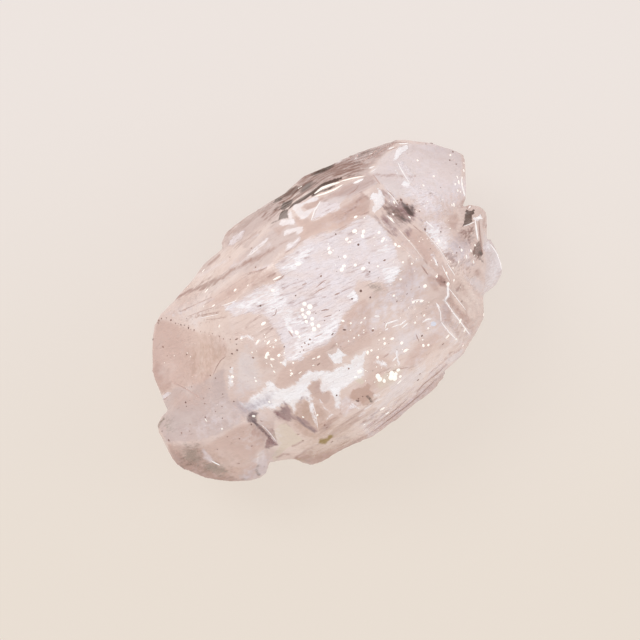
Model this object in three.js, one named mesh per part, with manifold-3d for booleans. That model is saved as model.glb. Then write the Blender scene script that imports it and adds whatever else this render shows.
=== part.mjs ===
// Rough morganite (pink beryl), a single 55 carat crystal fragment, lying on its broken underside.
//
// Frame: millimetres, +Z up. X follows the crystal's c axis, which is also its longest extent, and Z = 0
// is the flat face that the stone rests on. The origin is under the middle of the bounding box.
//
// The stone is built as it grew and broke. Convex blocks bounded by flat faces are joined, conchoidal
// scars are scooped out of them, and growth ledges, cleavage steps, chips and etch pits are cut last.

import * as THREE from "three";
import { ConvexGeometry } from "three/addons/geometries/ConvexGeometry.js";
import { mergeVertices } from "three/addons/utils/BufferGeometryUtils.js";
import Module from "manifold-3d";

const wasm = await Module();
wasm.setup();

// ---- Driving dimensions -----------------------------------------------------------------------------

// The stone's length. Every place in plan is given in thirtieths of it.
const LENGTH = 31;
const PLAN = LENGTH / 30;

// Heights of the levels that the blocks' corners sit on.
const REST = 0; // the face that the stone lies on
const BELLY = 2.8; // where the underside turns up
const GIRDLE = 6.5; // the widest outline
const SHOULDER = 12.3; // upper edge of the steep side faces
const CROWN = 15; // the broad etched face on top

const FAR = 60; // outside the stone, on any side
const FINEST = 0.01; // edges shorter than this are merged away

// ---- Solids -----------------------------------------------------------------------------------------

// A closed three.js geometry as a solid.
function solidOf(geometry) {
  const bare = geometry.index ? geometry.toNonIndexed() : geometry.clone();
  for (const name of ["normal", "uv"]) bare.deleteAttribute(name);
  const merged = mergeVertices(bare, 1e-5);
  return new wasm.Manifold(
    new wasm.Mesh({
      numProp: 3,
      vertProperties: new Float32Array(merged.attributes.position.array),
      triVerts: new Uint32Array(merged.index.array),
    }),
  );
}

function geometryOf(solid) {
  const { vertProperties, triVerts } = solid.getMesh();
  const geometry = new THREE.BufferGeometry();
  geometry.setAttribute("position", new THREE.BufferAttribute(vertProperties, 3));
  geometry.setIndex(new THREE.BufferAttribute(triVerts, 1));
  geometry.computeVertexNormals();
  return geometry;
}

const hullOf = (points) => solidOf(new ConvexGeometry(points));

// The convex block with these corners: x and y in thirtieths of the length, z in millimetres.
const block = (corners) => hullOf(corners.map(([x, y, z]) => new THREE.Vector3(x * PLAN, y * PLAN, z)));

// ---- The blocks that the stone is made of -----------------------------------------------------------

// Corners that more than one block shares.
const CREST = [-3.8, -1.4, CROWN - 0.3]; // the broad face's corner over the blunt end
const FLANK_TOP = [-6.0, 2.9, CROWN - 0.6];
const TOE_TOP = [-5.9, -5.7, SHOULDER - 1.6];
const RIDGE = [
  [1.6, 7.2, SHOULDER],
  [3.6, 7.3, SHOULDER],
  [6.6, 6.8, SHOULDER + 0.2],
  [9.1, 5.2, SHOULDER + 0.8],
];
const END_TOP = [9.3, 0.4, SHOULDER + 0.9];
const HEEL_TOP = [8.9, -3.4, SHOULDER];

// The prism that carries the broad etched face.
const core = block([
  // broad face on top
  [-4.9, 5.0, CROWN - 0.5],
  [0.4, 5.3, CROWN],
  [7.1, 3.4, CROWN],
  [7.5, -0.8, CROWN],
  [3.0, -1.6, CROWN],
  CREST,
  FLANK_TOP,
  // edges over the steep upper side, the stepped end and the lower side
  ...RIDGE,
  END_TOP,
  HEEL_TOP,
  [6.2, -6.2, SHOULDER - 1.2],
  [0.4, -6.5, SHOULDER - 1.0],
  TOE_TOP,
  // girdle
  [-8.7, 7.9, GIRDLE + 0.4],
  [-4.0, 8.45, GIRDLE + 0.4],
  [3.2, 8.4, GIRDLE],
  [5.5, 8.35, GIRDLE + 0.2],
  [9.0, 7.25, GIRDLE + 0.4],
  [11.9, 5.9, GIRDLE + 0.6],
  [11.4, -4.2, GIRDLE - 0.4],
  [8.3, -7.7, GIRDLE - 0.6],
  [5.5, -8.7, GIRDLE - 0.8],
  [-3.4, -8.3, GIRDLE - 0.8],
  [-7.6, -7.0, GIRDLE - 0.6],
  // underside
  [-9.6, -2.6, BELLY + 0.4],
  [-9.2, 5.2, BELLY - 0.2],
  [-4.8, 7.8, BELLY - 0.8],
  [2.4, 8.0, BELLY - 0.5],
  [8.6, 6.2, BELLY + 0.6],
  [10.6, -1.2, BELLY + 0.2],
  [7.0, -6.8, BELLY + 0.8],
  [-3.2, -7.4, BELLY - 0.2],
  // resting face
  [-7.2, -2.2, REST],
  [-7.0, 4.0, REST],
  [-2.0, 6.3, REST],
  [5.0, 5.4, REST],
  [8.2, 1.0, REST],
  [6.0, -3.8, REST],
  [0.4, -5.7, REST],
  [-4.8, -4.6, REST],
]);

// The ledge that stands out of the steep upper side.
const upperLedge = block([
  [-2.2, 7.0, SHOULDER - 1.9],
  ...RIDGE.slice(0, 2),
  [-2.1, 8.75, GIRDLE + 0.8],
  [-1.3, 9.1, GIRDLE + 0.4],
  [0.4, 9.0, GIRDLE + 0.6],
  [2.4, 8.7, GIRDLE + 0.4],
  [4.4, 8.2, GIRDLE + 0.4],
  [-2.2, 8.2, BELLY + 1.6],
  [3.4, 8.0, BELLY + 1.2],
  [-2.0, 4.0, GIRDLE],
  [3.0, 4.0, GIRDLE],
]);

// The pointed end, with its smooth broken face.
const point = block([
  RIDGE[3],
  END_TOP,
  [10.2, -1.0, SHOULDER - 0.5],
  [11.9, 6.0, GIRDLE + 1.2],
  [12.5, 5.5, GIRDLE + 1.1],
  [13.9, 4.0, GIRDLE + 0.6],
  [14.4, 3.1, GIRDLE + 0.3],
  [14.85, 2.55, GIRDLE + 0.1],
  [15.0, 2.05, GIRDLE],
  [14.8, 1.6, GIRDLE],
  [14.2, 0.95, GIRDLE + 0.2],
  [12.9, -0.5, GIRDLE + 1.0],
  [11.8, 1.2, SHOULDER - 1.3],
  [12.2, 4.8, BELLY + 1.4],
  [13.8, 2.2, BELLY + 1.8],
  [12.4, -0.2, BELLY + 1.6],
  [7.6, 6.0, BELLY + 0.6],
  [9.4, -2.0, BELLY + 0.2],
]);

// The darker blocky corner beside the point.
const corner = block([
  END_TOP,
  HEEL_TOP,
  [11.5, -1.6, SHOULDER - 1.3],
  [12.4, -2.1, GIRDLE + 2.8],
  [11.1, -4.1, GIRDLE + 3.0],
  [12.85, -1.0, GIRDLE + 1.6],
  [13.3, -1.6, GIRDLE + 0.9],
  [13.35, -2.2, GIRDLE + 0.6],
  [12.7, -3.05, GIRDLE + 0.6],
  [12.2, -3.6, GIRDLE + 0.8],
  [12.6, -1.4, BELLY + 2.0],
  [12.0, -3.0, BELLY + 1.8],
  [8.0, 0.0, BELLY + 0.6],
  [8.0, -4.0, BELLY + 0.8],
]);

// The clear rounded heel under that corner.
const heel = block([
  [8.4, -4.0, SHOULDER - 1.6],
  [10.9, -4.2, GIRDLE + 2.0],
  [12.4, -3.75, GIRDLE + 0.4],
  [12.15, -4.8, GIRDLE - 0.2],
  [11.9, -5.6, GIRDLE - 0.6],
  [11.4, -6.2, GIRDLE - 0.8],
  [10.5, -6.55, GIRDLE - 0.8],
  [9.5, -6.5, GIRDLE - 0.6],
  [10.8, -5.6, GIRDLE + 0.9],
  [7.4, -6.0, GIRDLE + 2.0],
  [11.2, -4.6, BELLY + 1.2],
  [9.6, -5.8, BELLY + 1.0],
  [6.0, -5.0, BELLY + 1.0],
]);

// The thin flange along the lower side.
const flange = block([
  [-8.45, -6.1, GIRDLE - 0.4],
  [-8.2, -6.8, GIRDLE - 0.8],
  [-7.9, -7.3, GIRDLE - 1.1],
  [-7.2, -7.6, GIRDLE - 1.3],
  [-5.5, -8.05, GIRDLE - 1.4],
  [-3.5, -8.65, GIRDLE - 1.5],
  [-1.0, -8.95, GIRDLE - 1.5],
  [2.1, -9.1, GIRDLE - 1.6],
  [3.2, -8.95, GIRDLE - 1.6],
  [4.2, -8.55, GIRDLE - 1.5],
  [-6.8, -6.0, GIRDLE + 1.0],
  [-1.0, -7.2, GIRDLE + 1.2],
  [4.2, -7.0, GIRDLE + 0.9],
  [-6.4, -6.4, BELLY + 0.4],
  [0.0, -8.0, BELLY + 0.2],
  [4.0, -7.6, BELLY + 0.4],
]);

// The smooth broken flank at the blunt end.
const flank = block([
  FLANK_TOP,
  [-4.8, 0.4, CROWN - 0.9],
  [-8.7, 7.9, GIRDLE + 0.4],
  [-9.5, 7.65, GIRDLE + 0.2],
  [-10.2, 7.1, GIRDLE],
  [-11.0, 6.3, GIRDLE - 0.1],
  [-11.8, 5.4, GIRDLE],
  [-12.2, 4.4, GIRDLE],
  [-12.5, 3.4, GIRDLE],
  [-12.75, 2.8, GIRDLE + 0.2],
  [-12.9, 0.6, GIRDLE + 1.6],
  [-9.1, -1.7, SHOULDER - 1.4],
  [-7.2, -1.2, SHOULDER + 0.1],
  [-10.8, 4.8, BELLY + 0.8],
  [-11.8, 1.4, BELLY + 1.2],
  [-9.0, 6.8, BELLY + 0.8],
  [-9.4, -1.6, BELLY + 0.4],
  [-5.0, 2.0, BELLY + 0.6],
]);

// The rounded lobe that ends it.
const lobe = block([
  [-9.0, 2.4, SHOULDER - 0.8],
  [-9.1, -1.75, SHOULDER - 1.35],
  [-11.6, -1.1, GIRDLE + 2.7],
  [-13.2, -0.2, GIRDLE + 1.7],
  [-14.3, 1.0, GIRDLE + 0.5],
  [-12.8, -2.6, GIRDLE + 0.8],
  [-11.6, -4.0, GIRDLE + 0.5],
  [-13.5, 2.45, GIRDLE],
  [-14.1, 2.2, GIRDLE - 0.2],
  [-14.4, 1.6, GIRDLE - 0.3],
  [-14.7, 0.6, GIRDLE - 0.5],
  [-14.95, -0.3, GIRDLE - 0.8],
  [-15.0, -1.2, GIRDLE - 0.9],
  [-14.75, -1.9, GIRDLE - 0.9],
  [-14.3, -2.7, GIRDLE - 1.0],
  [-12.9, -4.3, GIRDLE - 1.0],
  [-11.9, -5.1, GIRDLE - 0.9],
  [-11.2, -5.5, GIRDLE - 0.9],
  [-10.7, -5.55, GIRDLE - 0.8],
  [-10.2, -5.3, GIRDLE - 0.6],
  [-9.1, -4.3, GIRDLE + 0.9],
  [-13.6, -0.8, BELLY + 1.0],
  [-11.8, -3.8, BELLY + 0.8],
  [-12.8, 1.6, BELLY + 1.2],
  [-8.0, -3.0, BELLY + 0.4],
  [-8.0, 2.0, BELLY + 0.4],
]);

// The pale face between the lobe and the lower side.
const toe = block([
  CREST,
  TOE_TOP,
  // just under the flank's edge, so that no crack stays open between the two
  [-4.9, 0.5, CROWN - 1.1],
  [-7.2, -1.0, SHOULDER],
  [-8.7, -1.45, SHOULDER - 1.3],
  [-8.6, -1.9, SHOULDER - 2.4],
  [-9.2, -4.4, GIRDLE + 0.4],
  [-10.0, -5.05, GIRDLE - 0.4],
  [-9.4, -5.3, GIRDLE - 0.5],
  [-8.9, -5.5, GIRDLE - 0.5],
  [-8.5, -5.9, GIRDLE - 0.5],
  [-7.8, -6.5, GIRDLE - 0.6],
  [-8.8, -4.4, BELLY + 0.6],
  [-6.5, -5.8, BELLY + 0.4],
  [-5.0, -2.0, BELLY + 0.6],
]);

const broken = [upperLedge, point, corner, heel, flange, flank, lobe, toe].reduce(
  (joined, piece) => joined.add(piece),
  core,
);

// ---- Places on the surface --------------------------------------------------------------------------

const target = new THREE.Mesh(geometryOf(broken));
const raycaster = new THREE.Raycaster();

// Where a line from outside the stone first meets it: the point there and the face's outward normal.
function meet(origin, direction) {
  raycaster.set(origin, direction);
  const [hit] = raycaster.intersectObject(target);
  if (!hit) throw new Error("nothing to cut at " + origin.toArray());
  return { point: hit.point, normal: hit.face.normal.clone() };
}

// A place is looked up in plan from above or below, or in elevation from the front or the back. Plan
// places are in thirtieths of the length and heights in millimetres.
const Y = new THREE.Vector3(0, 1, 0);
const Z = new THREE.Vector3(0, 0, 1);
const above = (x, y) => meet(new THREE.Vector3(x * PLAN, y * PLAN, FAR), Z.clone().negate());
const below = (x, y) => meet(new THREE.Vector3(x * PLAN, y * PLAN, -FAR), Z);
const front = (x, z) => meet(new THREE.Vector3(x * PLAN, -FAR, z), Y);
const back = (x, z) => meet(new THREE.Vector3(x * PLAN, FAR, z), Y.clone().negate());

// ---- Cutters ----------------------------------------------------------------------------------------

const PROUD = 0.3; // how far a pit's cutter stands out of the surface
const CLEAR = 2.5; // and a ledge's, which may pass under a rise between its ends

// The shallow bowl that a conchoidal fracture leaves, from a sphere of that radius.
function scoop({ point, normal }, radius, depth) {
  const ball = new THREE.IcosahedronGeometry(radius, Math.ceil(0.8 * radius));
  ball.translate(...point.clone().addScaledVector(normal, radius - depth).toArray());
  return solidOf(ball);
}

// A ledge runs from one place to another. Its riser is depth high at the far end and falls to half of that
// at the near one, and its tread climbs back to the surface over width, to the right of the way it runs,
// or to the left where width is negative.
function ledge(start, end, depth, width) {
  const along = end.point.clone().sub(start.point).normalize();
  const corners = [
    [start, 0.5],
    [end, 1],
  ].flatMap(([{ point, normal }, share]) => {
    const across = along.clone().cross(normal).normalize();
    const at = (sideways, up) =>
      point.clone().addScaledVector(across, sideways).addScaledVector(normal, up);
    return [at(0, -depth * share), at(width * share, 0), at(width * share, CLEAR), at(0, CLEAR)];
  });
  return hullOf(corners);
}

// A boat-shaped etch pit, lengthwise along heading, in radians from X in plan.
function etchPit({ point, normal }, length, width, depth, heading) {
  const way = new THREE.Vector3(Math.cos(heading), Math.sin(heading), 0);
  const across = way.clone().cross(normal).normalize();
  const along = normal.clone().cross(across).normalize();
  const at = (forward, sideways, up) =>
    point
      .clone()
      .addScaledVector(along, forward * length)
      .addScaledVector(across, sideways * width)
      .addScaledVector(normal, up);
  const rim = [
    [-0.5, 0],
    [-0.3, -0.5],
    [-0.3, 0.5],
    [0.3, -0.5],
    [0.3, 0.5],
    [0.5, 0],
  ];
  return hullOf([
    ...rim.flatMap(([forward, sideways]) => [at(forward, sideways, PROUD), at(forward, sideways, 0)]),
    at(-0.15, 0, -depth),
    at(0.15, 0, -depth),
  ]);
}

// ---- Scars, ledges, steps and pits ------------------------------------------------------------------

const scars = [
  scoop(above(-9.4, 4.9), 17, 0.6), // the smooth flank
  scoop(above(-11.9, 1.0), 18, 0.35), // the lobe's upper face
  scoop(above(-7.6, -0.2), 12, 0.5), // flake over the blunt end
  scoop(above(-14.1, -1.6), 14, 0.3), // the lobe's end
  scoop(above(12.9, 2.7), 17, 0.5), // the point's smooth face
  scoop(above(9.1, 1.9), 4, 0.3), // hollow in the stepped end
  scoop(above(12.2, -1.3), 2.6, 0.3), // notch beside the blocky corner
  scoop(above(11.0, -5.6), 8, 0.25), // the clear heel
  scoop(above(-1.7, -5.9), 2.2, 0.25), // stained hollow over the flange
  scoop(above(3.4, -4.4), 28, 0.55), // waves on the lower side
  scoop(above(-2.8, -3.9), 18, 0.45),
  scoop(above(6.2, 5.4), 20, 0.3), // hollow under the dark ridge
  scoop(front(-5.0, GIRDLE - 2.6), 9, 0.4),
  scoop(back(-6.4, GIRDLE - 2.2), 12, 0.5),
  scoop(back(7.6, GIRDLE - 2.0), 11, 0.5),
  scoop(below(-11.2, 1.0), 10, 0.4),
  scoop(below(10.6, 2.4), 12, 0.5),
];

// Growth ledges along the striated upper side, which slant a little across the c axis.
const growthLedges = Array.from({ length: 5 }, (_, i) => {
  const y = 7.75 - 0.46 * i;
  const start = above(-7.7 + 0.3 * i, y);
  const end = above(-0.6 + 0.9 * ((i * 3) % 4) - 0.5 * i, y - 1.0 + 0.08 * i);
  return ledge(start, end, 0.1 + 0.04 * (i % 3), -0.42 - 0.1 * (i % 2));
});

// Cleavage steps across the c axis, at the stepped end and on the lower side.
const cleavageSteps = [
  ledge(above(7.2, 2.9), above(7.25, -1.6), 0.2, -0.5),
  ledge(above(7.95, 1.0), above(7.75, -2.2), 0.25, -0.9),
  ledge(above(9.1, -0.6), above(8.95, -3.1), 0.3, -0.6),
  ledge(above(9.0, 4.9), above(9.1, 3.2), 0.2, -0.7),
  ledge(above(5.75, -5.8), above(5.8, -7.5), 0.2, -0.7),
  ledge(above(6.9, -4.9), above(6.8, -7.9), 0.3, -0.6),
  ledge(above(7.65, -4.6), above(7.5, -6.6), 0.2, -0.5),
  ledge(above(-8.85, -4.5), above(-8.9, -1.9), 0.5, 0.35),
  ledge(above(-6.2, -5.6), above(-7.0, -2.8), 0.35, -0.8),
];

// Long curved ledges where the lower side runs out into the flange.
const flangeLedges = Array.from({ length: 3 }, (_, i) => {
  const y = -6.5 - 0.55 * i;
  const middle = above(-1.2 + 0.8 * i, y - 0.5 + 0.1 * i);
  return [
    ledge(above(-6.4 + 0.9 * i, y), middle, 0.16, 0.4),
    ledge(above(3.6 + 0.5 * i, y - 0.7 + 0.2 * i), middle, 0.16, -0.4),
  ];
}).flat();

// Growth ledges on the prism faces under the girdle.
const sideLedges = [0, 1, 2].flatMap((i) => [
  ledge(front(-3.5 + 0.8 * i, BELLY + 0.5 + 0.8 * i), front(4.5 + 0.6 * i, BELLY + 0.8 + 0.8 * i), 0.2, 0.7),
  ledge(back(6.4 - 0.7 * i, BELLY + 0.1 + 1.0 * i), back(-5.0 - 0.6 * i, BELLY - 0.1 + 1.0 * i), 0.2, 0.7),
]);

// Beads of tiny pits strung along the edge between the flank and the striated side.
const beads = Array.from({ length: 11 }, (_, i) => {
  const t = i / 10;
  const x = -8.6 + 2.45 * t;
  const y = 7.4 - 4.3 * t + 0.35 * Math.sin(Math.PI * t);
  return etchPit(above(x, y), 0.34, 0.2, 0.12, 0);
});

// Etch pits on the broad face, lengthwise along the striations, spread by the golden ratio.
const STRIATION = THREE.MathUtils.degToRad(-20);
const GOLDEN = (Math.sqrt(5) - 1) / 2;
const pits = Array.from({ length: 30 }, (_, i) => {
  const x = -4.2 + 10.6 * ((i * GOLDEN) % 1);
  const y = -0.9 + 4.7 * ((i + 0.5) / 30);
  return etchPit(above(x, y), 0.3 + 0.16 * ((i * 5) % 4), 0.13, 0.07, STRIATION);
});

const cut = broken.subtract(
  wasm.Manifold.union([
    ...scars,
    ...growthLedges,
    ...cleavageSteps,
    ...flangeLedges,
    ...sideLedges,
    ...beads,
    ...pits,
  ]),
);

// The origin goes under the middle of the bounding box.
const { min, max } = cut.boundingBox();
const stone = cut.simplify(FINEST).translate(-(min[0] + max[0]) / 2, -(min[1] + max[1]) / 2, -min[2]);

// ---- The exported group -----------------------------------------------------------------------------

const crystal = new THREE.Mesh(
  geometryOf(stone),
  new THREE.MeshStandardMaterial({ color: 0xe3cdc7, roughness: 0.2, metalness: 0 }),
);
crystal.name = "morganite_crystal";

const part = new THREE.Group();
part.add(crystal);

export default part;
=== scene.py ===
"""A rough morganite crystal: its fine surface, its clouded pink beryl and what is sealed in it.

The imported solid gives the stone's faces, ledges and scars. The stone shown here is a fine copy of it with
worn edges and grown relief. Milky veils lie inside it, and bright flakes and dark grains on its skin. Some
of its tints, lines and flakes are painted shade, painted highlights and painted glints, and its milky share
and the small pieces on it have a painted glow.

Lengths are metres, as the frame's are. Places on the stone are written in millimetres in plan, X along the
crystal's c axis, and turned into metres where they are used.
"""

from __future__ import annotations

import logging
import math
import random
from collections.abc import Iterable, Mapping, Sequence
from dataclasses import dataclass, field
from enum import Enum

import bmesh
import bpy
import numpy as np
from mathutils import Matrix, Vector, noise


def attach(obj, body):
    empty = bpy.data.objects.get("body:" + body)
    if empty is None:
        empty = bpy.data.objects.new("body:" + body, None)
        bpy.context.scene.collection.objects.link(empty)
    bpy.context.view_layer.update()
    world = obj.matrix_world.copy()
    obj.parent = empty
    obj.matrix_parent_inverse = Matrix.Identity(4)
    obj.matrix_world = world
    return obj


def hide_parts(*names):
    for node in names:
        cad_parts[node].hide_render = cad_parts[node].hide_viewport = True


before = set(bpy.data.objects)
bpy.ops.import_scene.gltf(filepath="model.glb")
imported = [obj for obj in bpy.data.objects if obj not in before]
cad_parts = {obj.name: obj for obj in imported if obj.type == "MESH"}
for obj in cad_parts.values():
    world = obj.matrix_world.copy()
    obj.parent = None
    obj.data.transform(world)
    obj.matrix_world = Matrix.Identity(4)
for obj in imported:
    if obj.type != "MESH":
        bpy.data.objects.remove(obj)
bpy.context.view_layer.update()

log = logging.getLogger("morganite")

MM = 0.001
NODE = "morganite_crystal"
BODY = "root"
DOWN = Vector((0.0, 0.0, -1.0))
OUTSIDE = 0.1  # how far from the stone a ray starts, well clear of it

Colour = tuple[float, float, float]
Plan = tuple[float, float]
Span = tuple[float, float]


# ---- Bench: the operators that shape every piece ------------------------------------------------------


class Bench:
    """Modelling steps on one object at a time, as they are made by hand."""

    @staticmethod
    def pick(piece: bpy.types.Object) -> bpy.types.Object:
        """Selects one object alone and makes it the active one.

        Args:
            piece: The object to work on.

        Returns:
            The same object.
        """
        bpy.ops.object.select_all(action="DESELECT")
        piece.select_set(True)
        bpy.context.view_layer.objects.active = piece
        return piece

    @staticmethod
    def fresh(name: str) -> bpy.types.Object:
        """Names the primitive that an operator has just added.

        Args:
            name: The object's and its mesh's new name.

        Returns:
            The new object.
        """
        piece = bpy.context.active_object
        piece.name = piece.data.name = name
        return piece

    @staticmethod
    def modify(piece: bpy.types.Object, kind: str, **settings: object) -> None:
        """Adds one modifier and applies it.

        Args:
            piece: The object to modify.
            kind: The modifier's type.
            **settings: Its properties.
        """
        Bench.pick(piece)
        modifier = piece.modifiers.new(kind.title(), kind)
        for key, value in settings.items():
            setattr(modifier, key, value)
        bpy.ops.object.modifier_apply(modifier=modifier.name)

    @staticmethod
    def join(parts: Sequence[bpy.types.Object], name: str) -> bpy.types.Object:
        """Joins several objects in one.

        Args:
            parts: The objects.
            name: The joined object's name.

        Returns:
            The joined object.
        """
        Bench.pick(parts[0])
        for part in parts:
            part.select_set(True)
        bpy.ops.object.join()
        return Bench.fresh(name)

    @staticmethod
    def settle(piece: bpy.types.Object) -> None:
        """Moves the object's place, turn and scale into its mesh."""
        Bench.pick(piece)
        bpy.ops.object.transform_apply(location=True, rotation=True, scale=True)

    @staticmethod
    def shade_smooth(piece: bpy.types.Object) -> None:
        """Gives every face smooth shading."""
        Bench.pick(piece)
        bpy.ops.object.shade_smooth()


def smoothstep(value: np.ndarray, low: float, high: float) -> np.ndarray:
    """Rises smoothly from 0 at low to 1 at high, or falls where low is the larger.

    Args:
        value: The numbers to grade.
        low: Where the result is 0.
        high: Where the result is 1.

    Returns:
        The graded numbers.
    """
    share = np.clip((value - low) / (high - low), 0.0, 1.0)
    return share * share * (3.0 - 2.0 * share)


# ---- Shader expressions -------------------------------------------------------------------------------


class Value:
    """A shader socket that carries a number. Arithmetic on it adds Math nodes."""

    def __init__(self, graph: Graph, socket: bpy.types.NodeSocket) -> None:
        """Wraps a socket of that graph."""
        self.graph = graph
        self.socket = socket

    def math(self, operation: str, *others: Value | float) -> Value:
        """Adds one Math node.

        Args:
            operation: The Math node's operation.
            *others: Its inputs after this one.

        Returns:
            The node's result.
        """
        made = self.graph.node("ShaderNodeMath", {"operation": operation}, dict(enumerate([self, *others])))
        return Value(self.graph, made.outputs[0])

    def __add__(self, other: Value | float) -> Value:
        """This plus the other."""
        return self.math("ADD", other)

    __radd__ = __add__

    def __sub__(self, other: Value | float) -> Value:
        """This less the other."""
        return self.math("SUBTRACT", other)

    def __rsub__(self, other: float) -> Value:
        """The other less this."""
        return (self * -1.0) + other

    def __mul__(self, other: Value | float) -> Value:
        """This times the other."""
        return self.math("MULTIPLY", other)

    __rmul__ = __mul__

    def most(self, other: Value | float) -> Value:
        """The larger of this and the other."""
        return self.math("MAXIMUM", other)

    def between(self, low: float, high: float) -> Value:
        """Grades this from 0 at low to 1 at high.

        Args:
            low: Where the result is 0.
            high: Where the result is 1.

        Returns:
            The graded value.
        """
        settings = {"interpolation_type": "SMOOTHSTEP"}
        inputs = {"Value": self, "From Min": low, "From Max": high}
        return Value(self.graph, self.graph.node("ShaderNodeMapRange", settings, inputs).outputs[0])


Input = Value | bpy.types.NodeSocket | float | Sequence[float]

# The colour sockets of a Mix node, which has others of the same names
UNDER_COLOUR = 6
OVER_COLOUR = 7
MIXED_COLOUR = 2


@dataclass(frozen=True)
class Clouds:
    """Cloudy noise, in millimetres and degrees, graded between two levels if it has them."""

    size: float
    levels: Span | None = None
    detail: float = 2.0
    roughness: float = 0.5
    turn: float = 0.0
    stretch: tuple[float, float, float] = (1.0, 1.0, 1.0)


class Graph:
    """The node tree of one material or world, with a method for each kind of pattern."""

    def __init__(self, owner: bpy.types.Material | bpy.types.World) -> None:
        """Clears the owner's node tree."""
        owner.use_nodes = True
        self.tree = owner.node_tree
        self.tree.nodes.clear()

    def node(
        self,
        kind: str,
        settings: Mapping[str, object],
        inputs: Mapping[str | int, Input],
    ) -> bpy.types.Node:
        """Adds a node.

        Args:
            kind: The node's type.
            settings: Its properties, set first.
            inputs: A plain value or a link for each named or numbered socket.

        Returns:
            The new node.
        """
        made = self.tree.nodes.new(kind)
        for key, value in settings.items():
            setattr(made, key, value)
        for key, value in inputs.items():
            socket = made.inputs[key]
            source = value.socket if isinstance(value, Value) else value
            if isinstance(source, bpy.types.NodeSocket):
                self.tree.links.new(source, socket)
            else:
                socket.default_value = source
        return made

    def principled(self, inputs: Mapping[str | int, Input]) -> bpy.types.Node:
        """Adds a surface shader with those inputs."""
        return self.node("ShaderNodeBsdfPrincipled", {}, inputs)

    def place(self, turn: float = 0.0, stretch: Sequence[float] = (1.0, 1.0, 1.0)) -> bpy.types.NodeSocket:
        """The point on the piece in millimetres.

        Args:
            turn: Degrees about Z by which the pattern is turned.
            stretch: How much longer the pattern is along each turned axis.

        Returns:
            The vector socket.
        """
        point = self.node("ShaderNodeTexCoord", {}, {}).outputs["Object"]
        scale = [MM * share for share in stretch]
        inputs = {"Vector": point, "Rotation": (0.0, 0.0, math.radians(turn)), "Scale": scale}
        return self.node("ShaderNodeMapping", {"vector_type": "TEXTURE"}, inputs).outputs[0]

    def noise(self, clouds: Clouds) -> Value:
        """Cloudy noise on the piece.

        Args:
            clouds: Its sizes and levels.

        Returns:
            The noise, from 0 to 1.
        """
        inputs = {
            "Vector": self.place(clouds.turn, clouds.stretch),
            "Scale": 1.0 / clouds.size,
            "Detail": clouds.detail,
            "Roughness": clouds.roughness,
        }
        made = Value(self, self.node("ShaderNodeTexNoise", {}, inputs).outputs[0])
        return made.between(*clouds.levels) if clouds.levels else made

    def cells(self, size: float) -> Value:
        """The distance from the nearest of many points scattered on the piece, in cell sizes."""
        inputs = {"Vector": self.place(), "Scale": 1.0 / size}
        return Value(self, self.node("ShaderNodeTexVoronoi", {}, inputs).outputs[0])

    def trait(self, name: str) -> Value:
        """A mask that is stored on the piece's own points."""
        return Value(self, self.node("ShaderNodeAttribute", {"attribute_name": name}, {}).outputs["Fac"])

    def blend(self, share: Value, under: Input, over: Input) -> bpy.types.NodeSocket:
        """Mixes two colours.

        Args:
            share: How much of the upper colour shows.
            under: The lower colour.
            over: The upper colour.

        Returns:
            The mixed colour.
        """
        settings = {"data_type": "RGBA", "clamp_factor": True}
        inputs = {0: share, UNDER_COLOUR: opaque(under), OVER_COLOUR: opaque(over)}
        return self.node("ShaderNodeMix", settings, inputs).outputs[MIXED_COLOUR]

    def bump(
        self,
        height: Value,
        depth: float,
        under: bpy.types.NodeSocket | None = None,
    ) -> bpy.types.NodeSocket:
        """Turns a height into a normal.

        Args:
            height: The relief, from 0 to 1.
            depth: How deep the relief is, in millimetres.
            under: A normal to add it to.

        Returns:
            The normal.
        """
        inputs = {"Height": height, "Distance": depth * MM}
        if under is not None:
            inputs["Normal"] = under
        return self.node("ShaderNodeBump", {}, inputs).outputs[0]

    def mix(self, share: Value, under: bpy.types.Node, over: bpy.types.Node) -> bpy.types.Node:
        """Mixes two shaders, the upper one showing by that share."""
        return self.node("ShaderNodeMixShader", {}, {0: share, 1: under.outputs[0], 2: over.outputs[0]})

    def finish(self, surface: bpy.types.Node, volume: bpy.types.Node | None = None) -> None:
        """Connects the shaders to the output."""
        inputs = {"Surface": surface.outputs[0]}
        if volume is not None:
            inputs["Volume"] = volume.outputs[0]
        self.node("ShaderNodeOutputMaterial", {}, inputs)


def opaque(colour: Input) -> Input:
    """A plain colour with its fourth number, or a link as it is."""
    return (*colour, 1.0) if isinstance(colour, tuple) else colour


# ---- Marks on the stone -------------------------------------------------------------------------------


def linear(red: int, green: int, blue: int) -> Colour:
    """Turns a colour from a screen's 0 to 255 scale into the renderer's, by the sRGB curve.

    Args:
        red: The red share.
        green: The green share.
        blue: The blue share.

    Returns:
        The colour for a shader.
    """
    return tuple(
        share / 12.92 if share <= 0.04045 else ((share + 0.055) / 1.055) ** 2.4
        for share in (red / 255, green / 255, blue / 255)
    )


FRAYING = (0.25, 0.75)


class Grain(Enum):
    """The noises that fray the edges of marks."""

    WISP = Clouds(0.45, FRAYING, 3.0, 0.6)
    DASH = Clouds(0.30, FRAYING, 3.0, 0.6, -20.0, (1.9, 0.5, 1.0))
    DRIP = Clouds(0.34, FRAYING, 3.0, 0.6, 6.0, (0.6, 2.4, 1.0))
    STRIA = Clouds(0.42, FRAYING, 3.0, 0.6, -14.0, (5.0, 0.42, 0.8))


@dataclass(frozen=True)
class Layer:
    """A tint that shows where its frayed mask passes a threshold, and thins out in clouds."""

    name: str
    colour: Colour
    grain: Grain
    fray: float
    low: float
    high: float
    thin: float = 0.0


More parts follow.
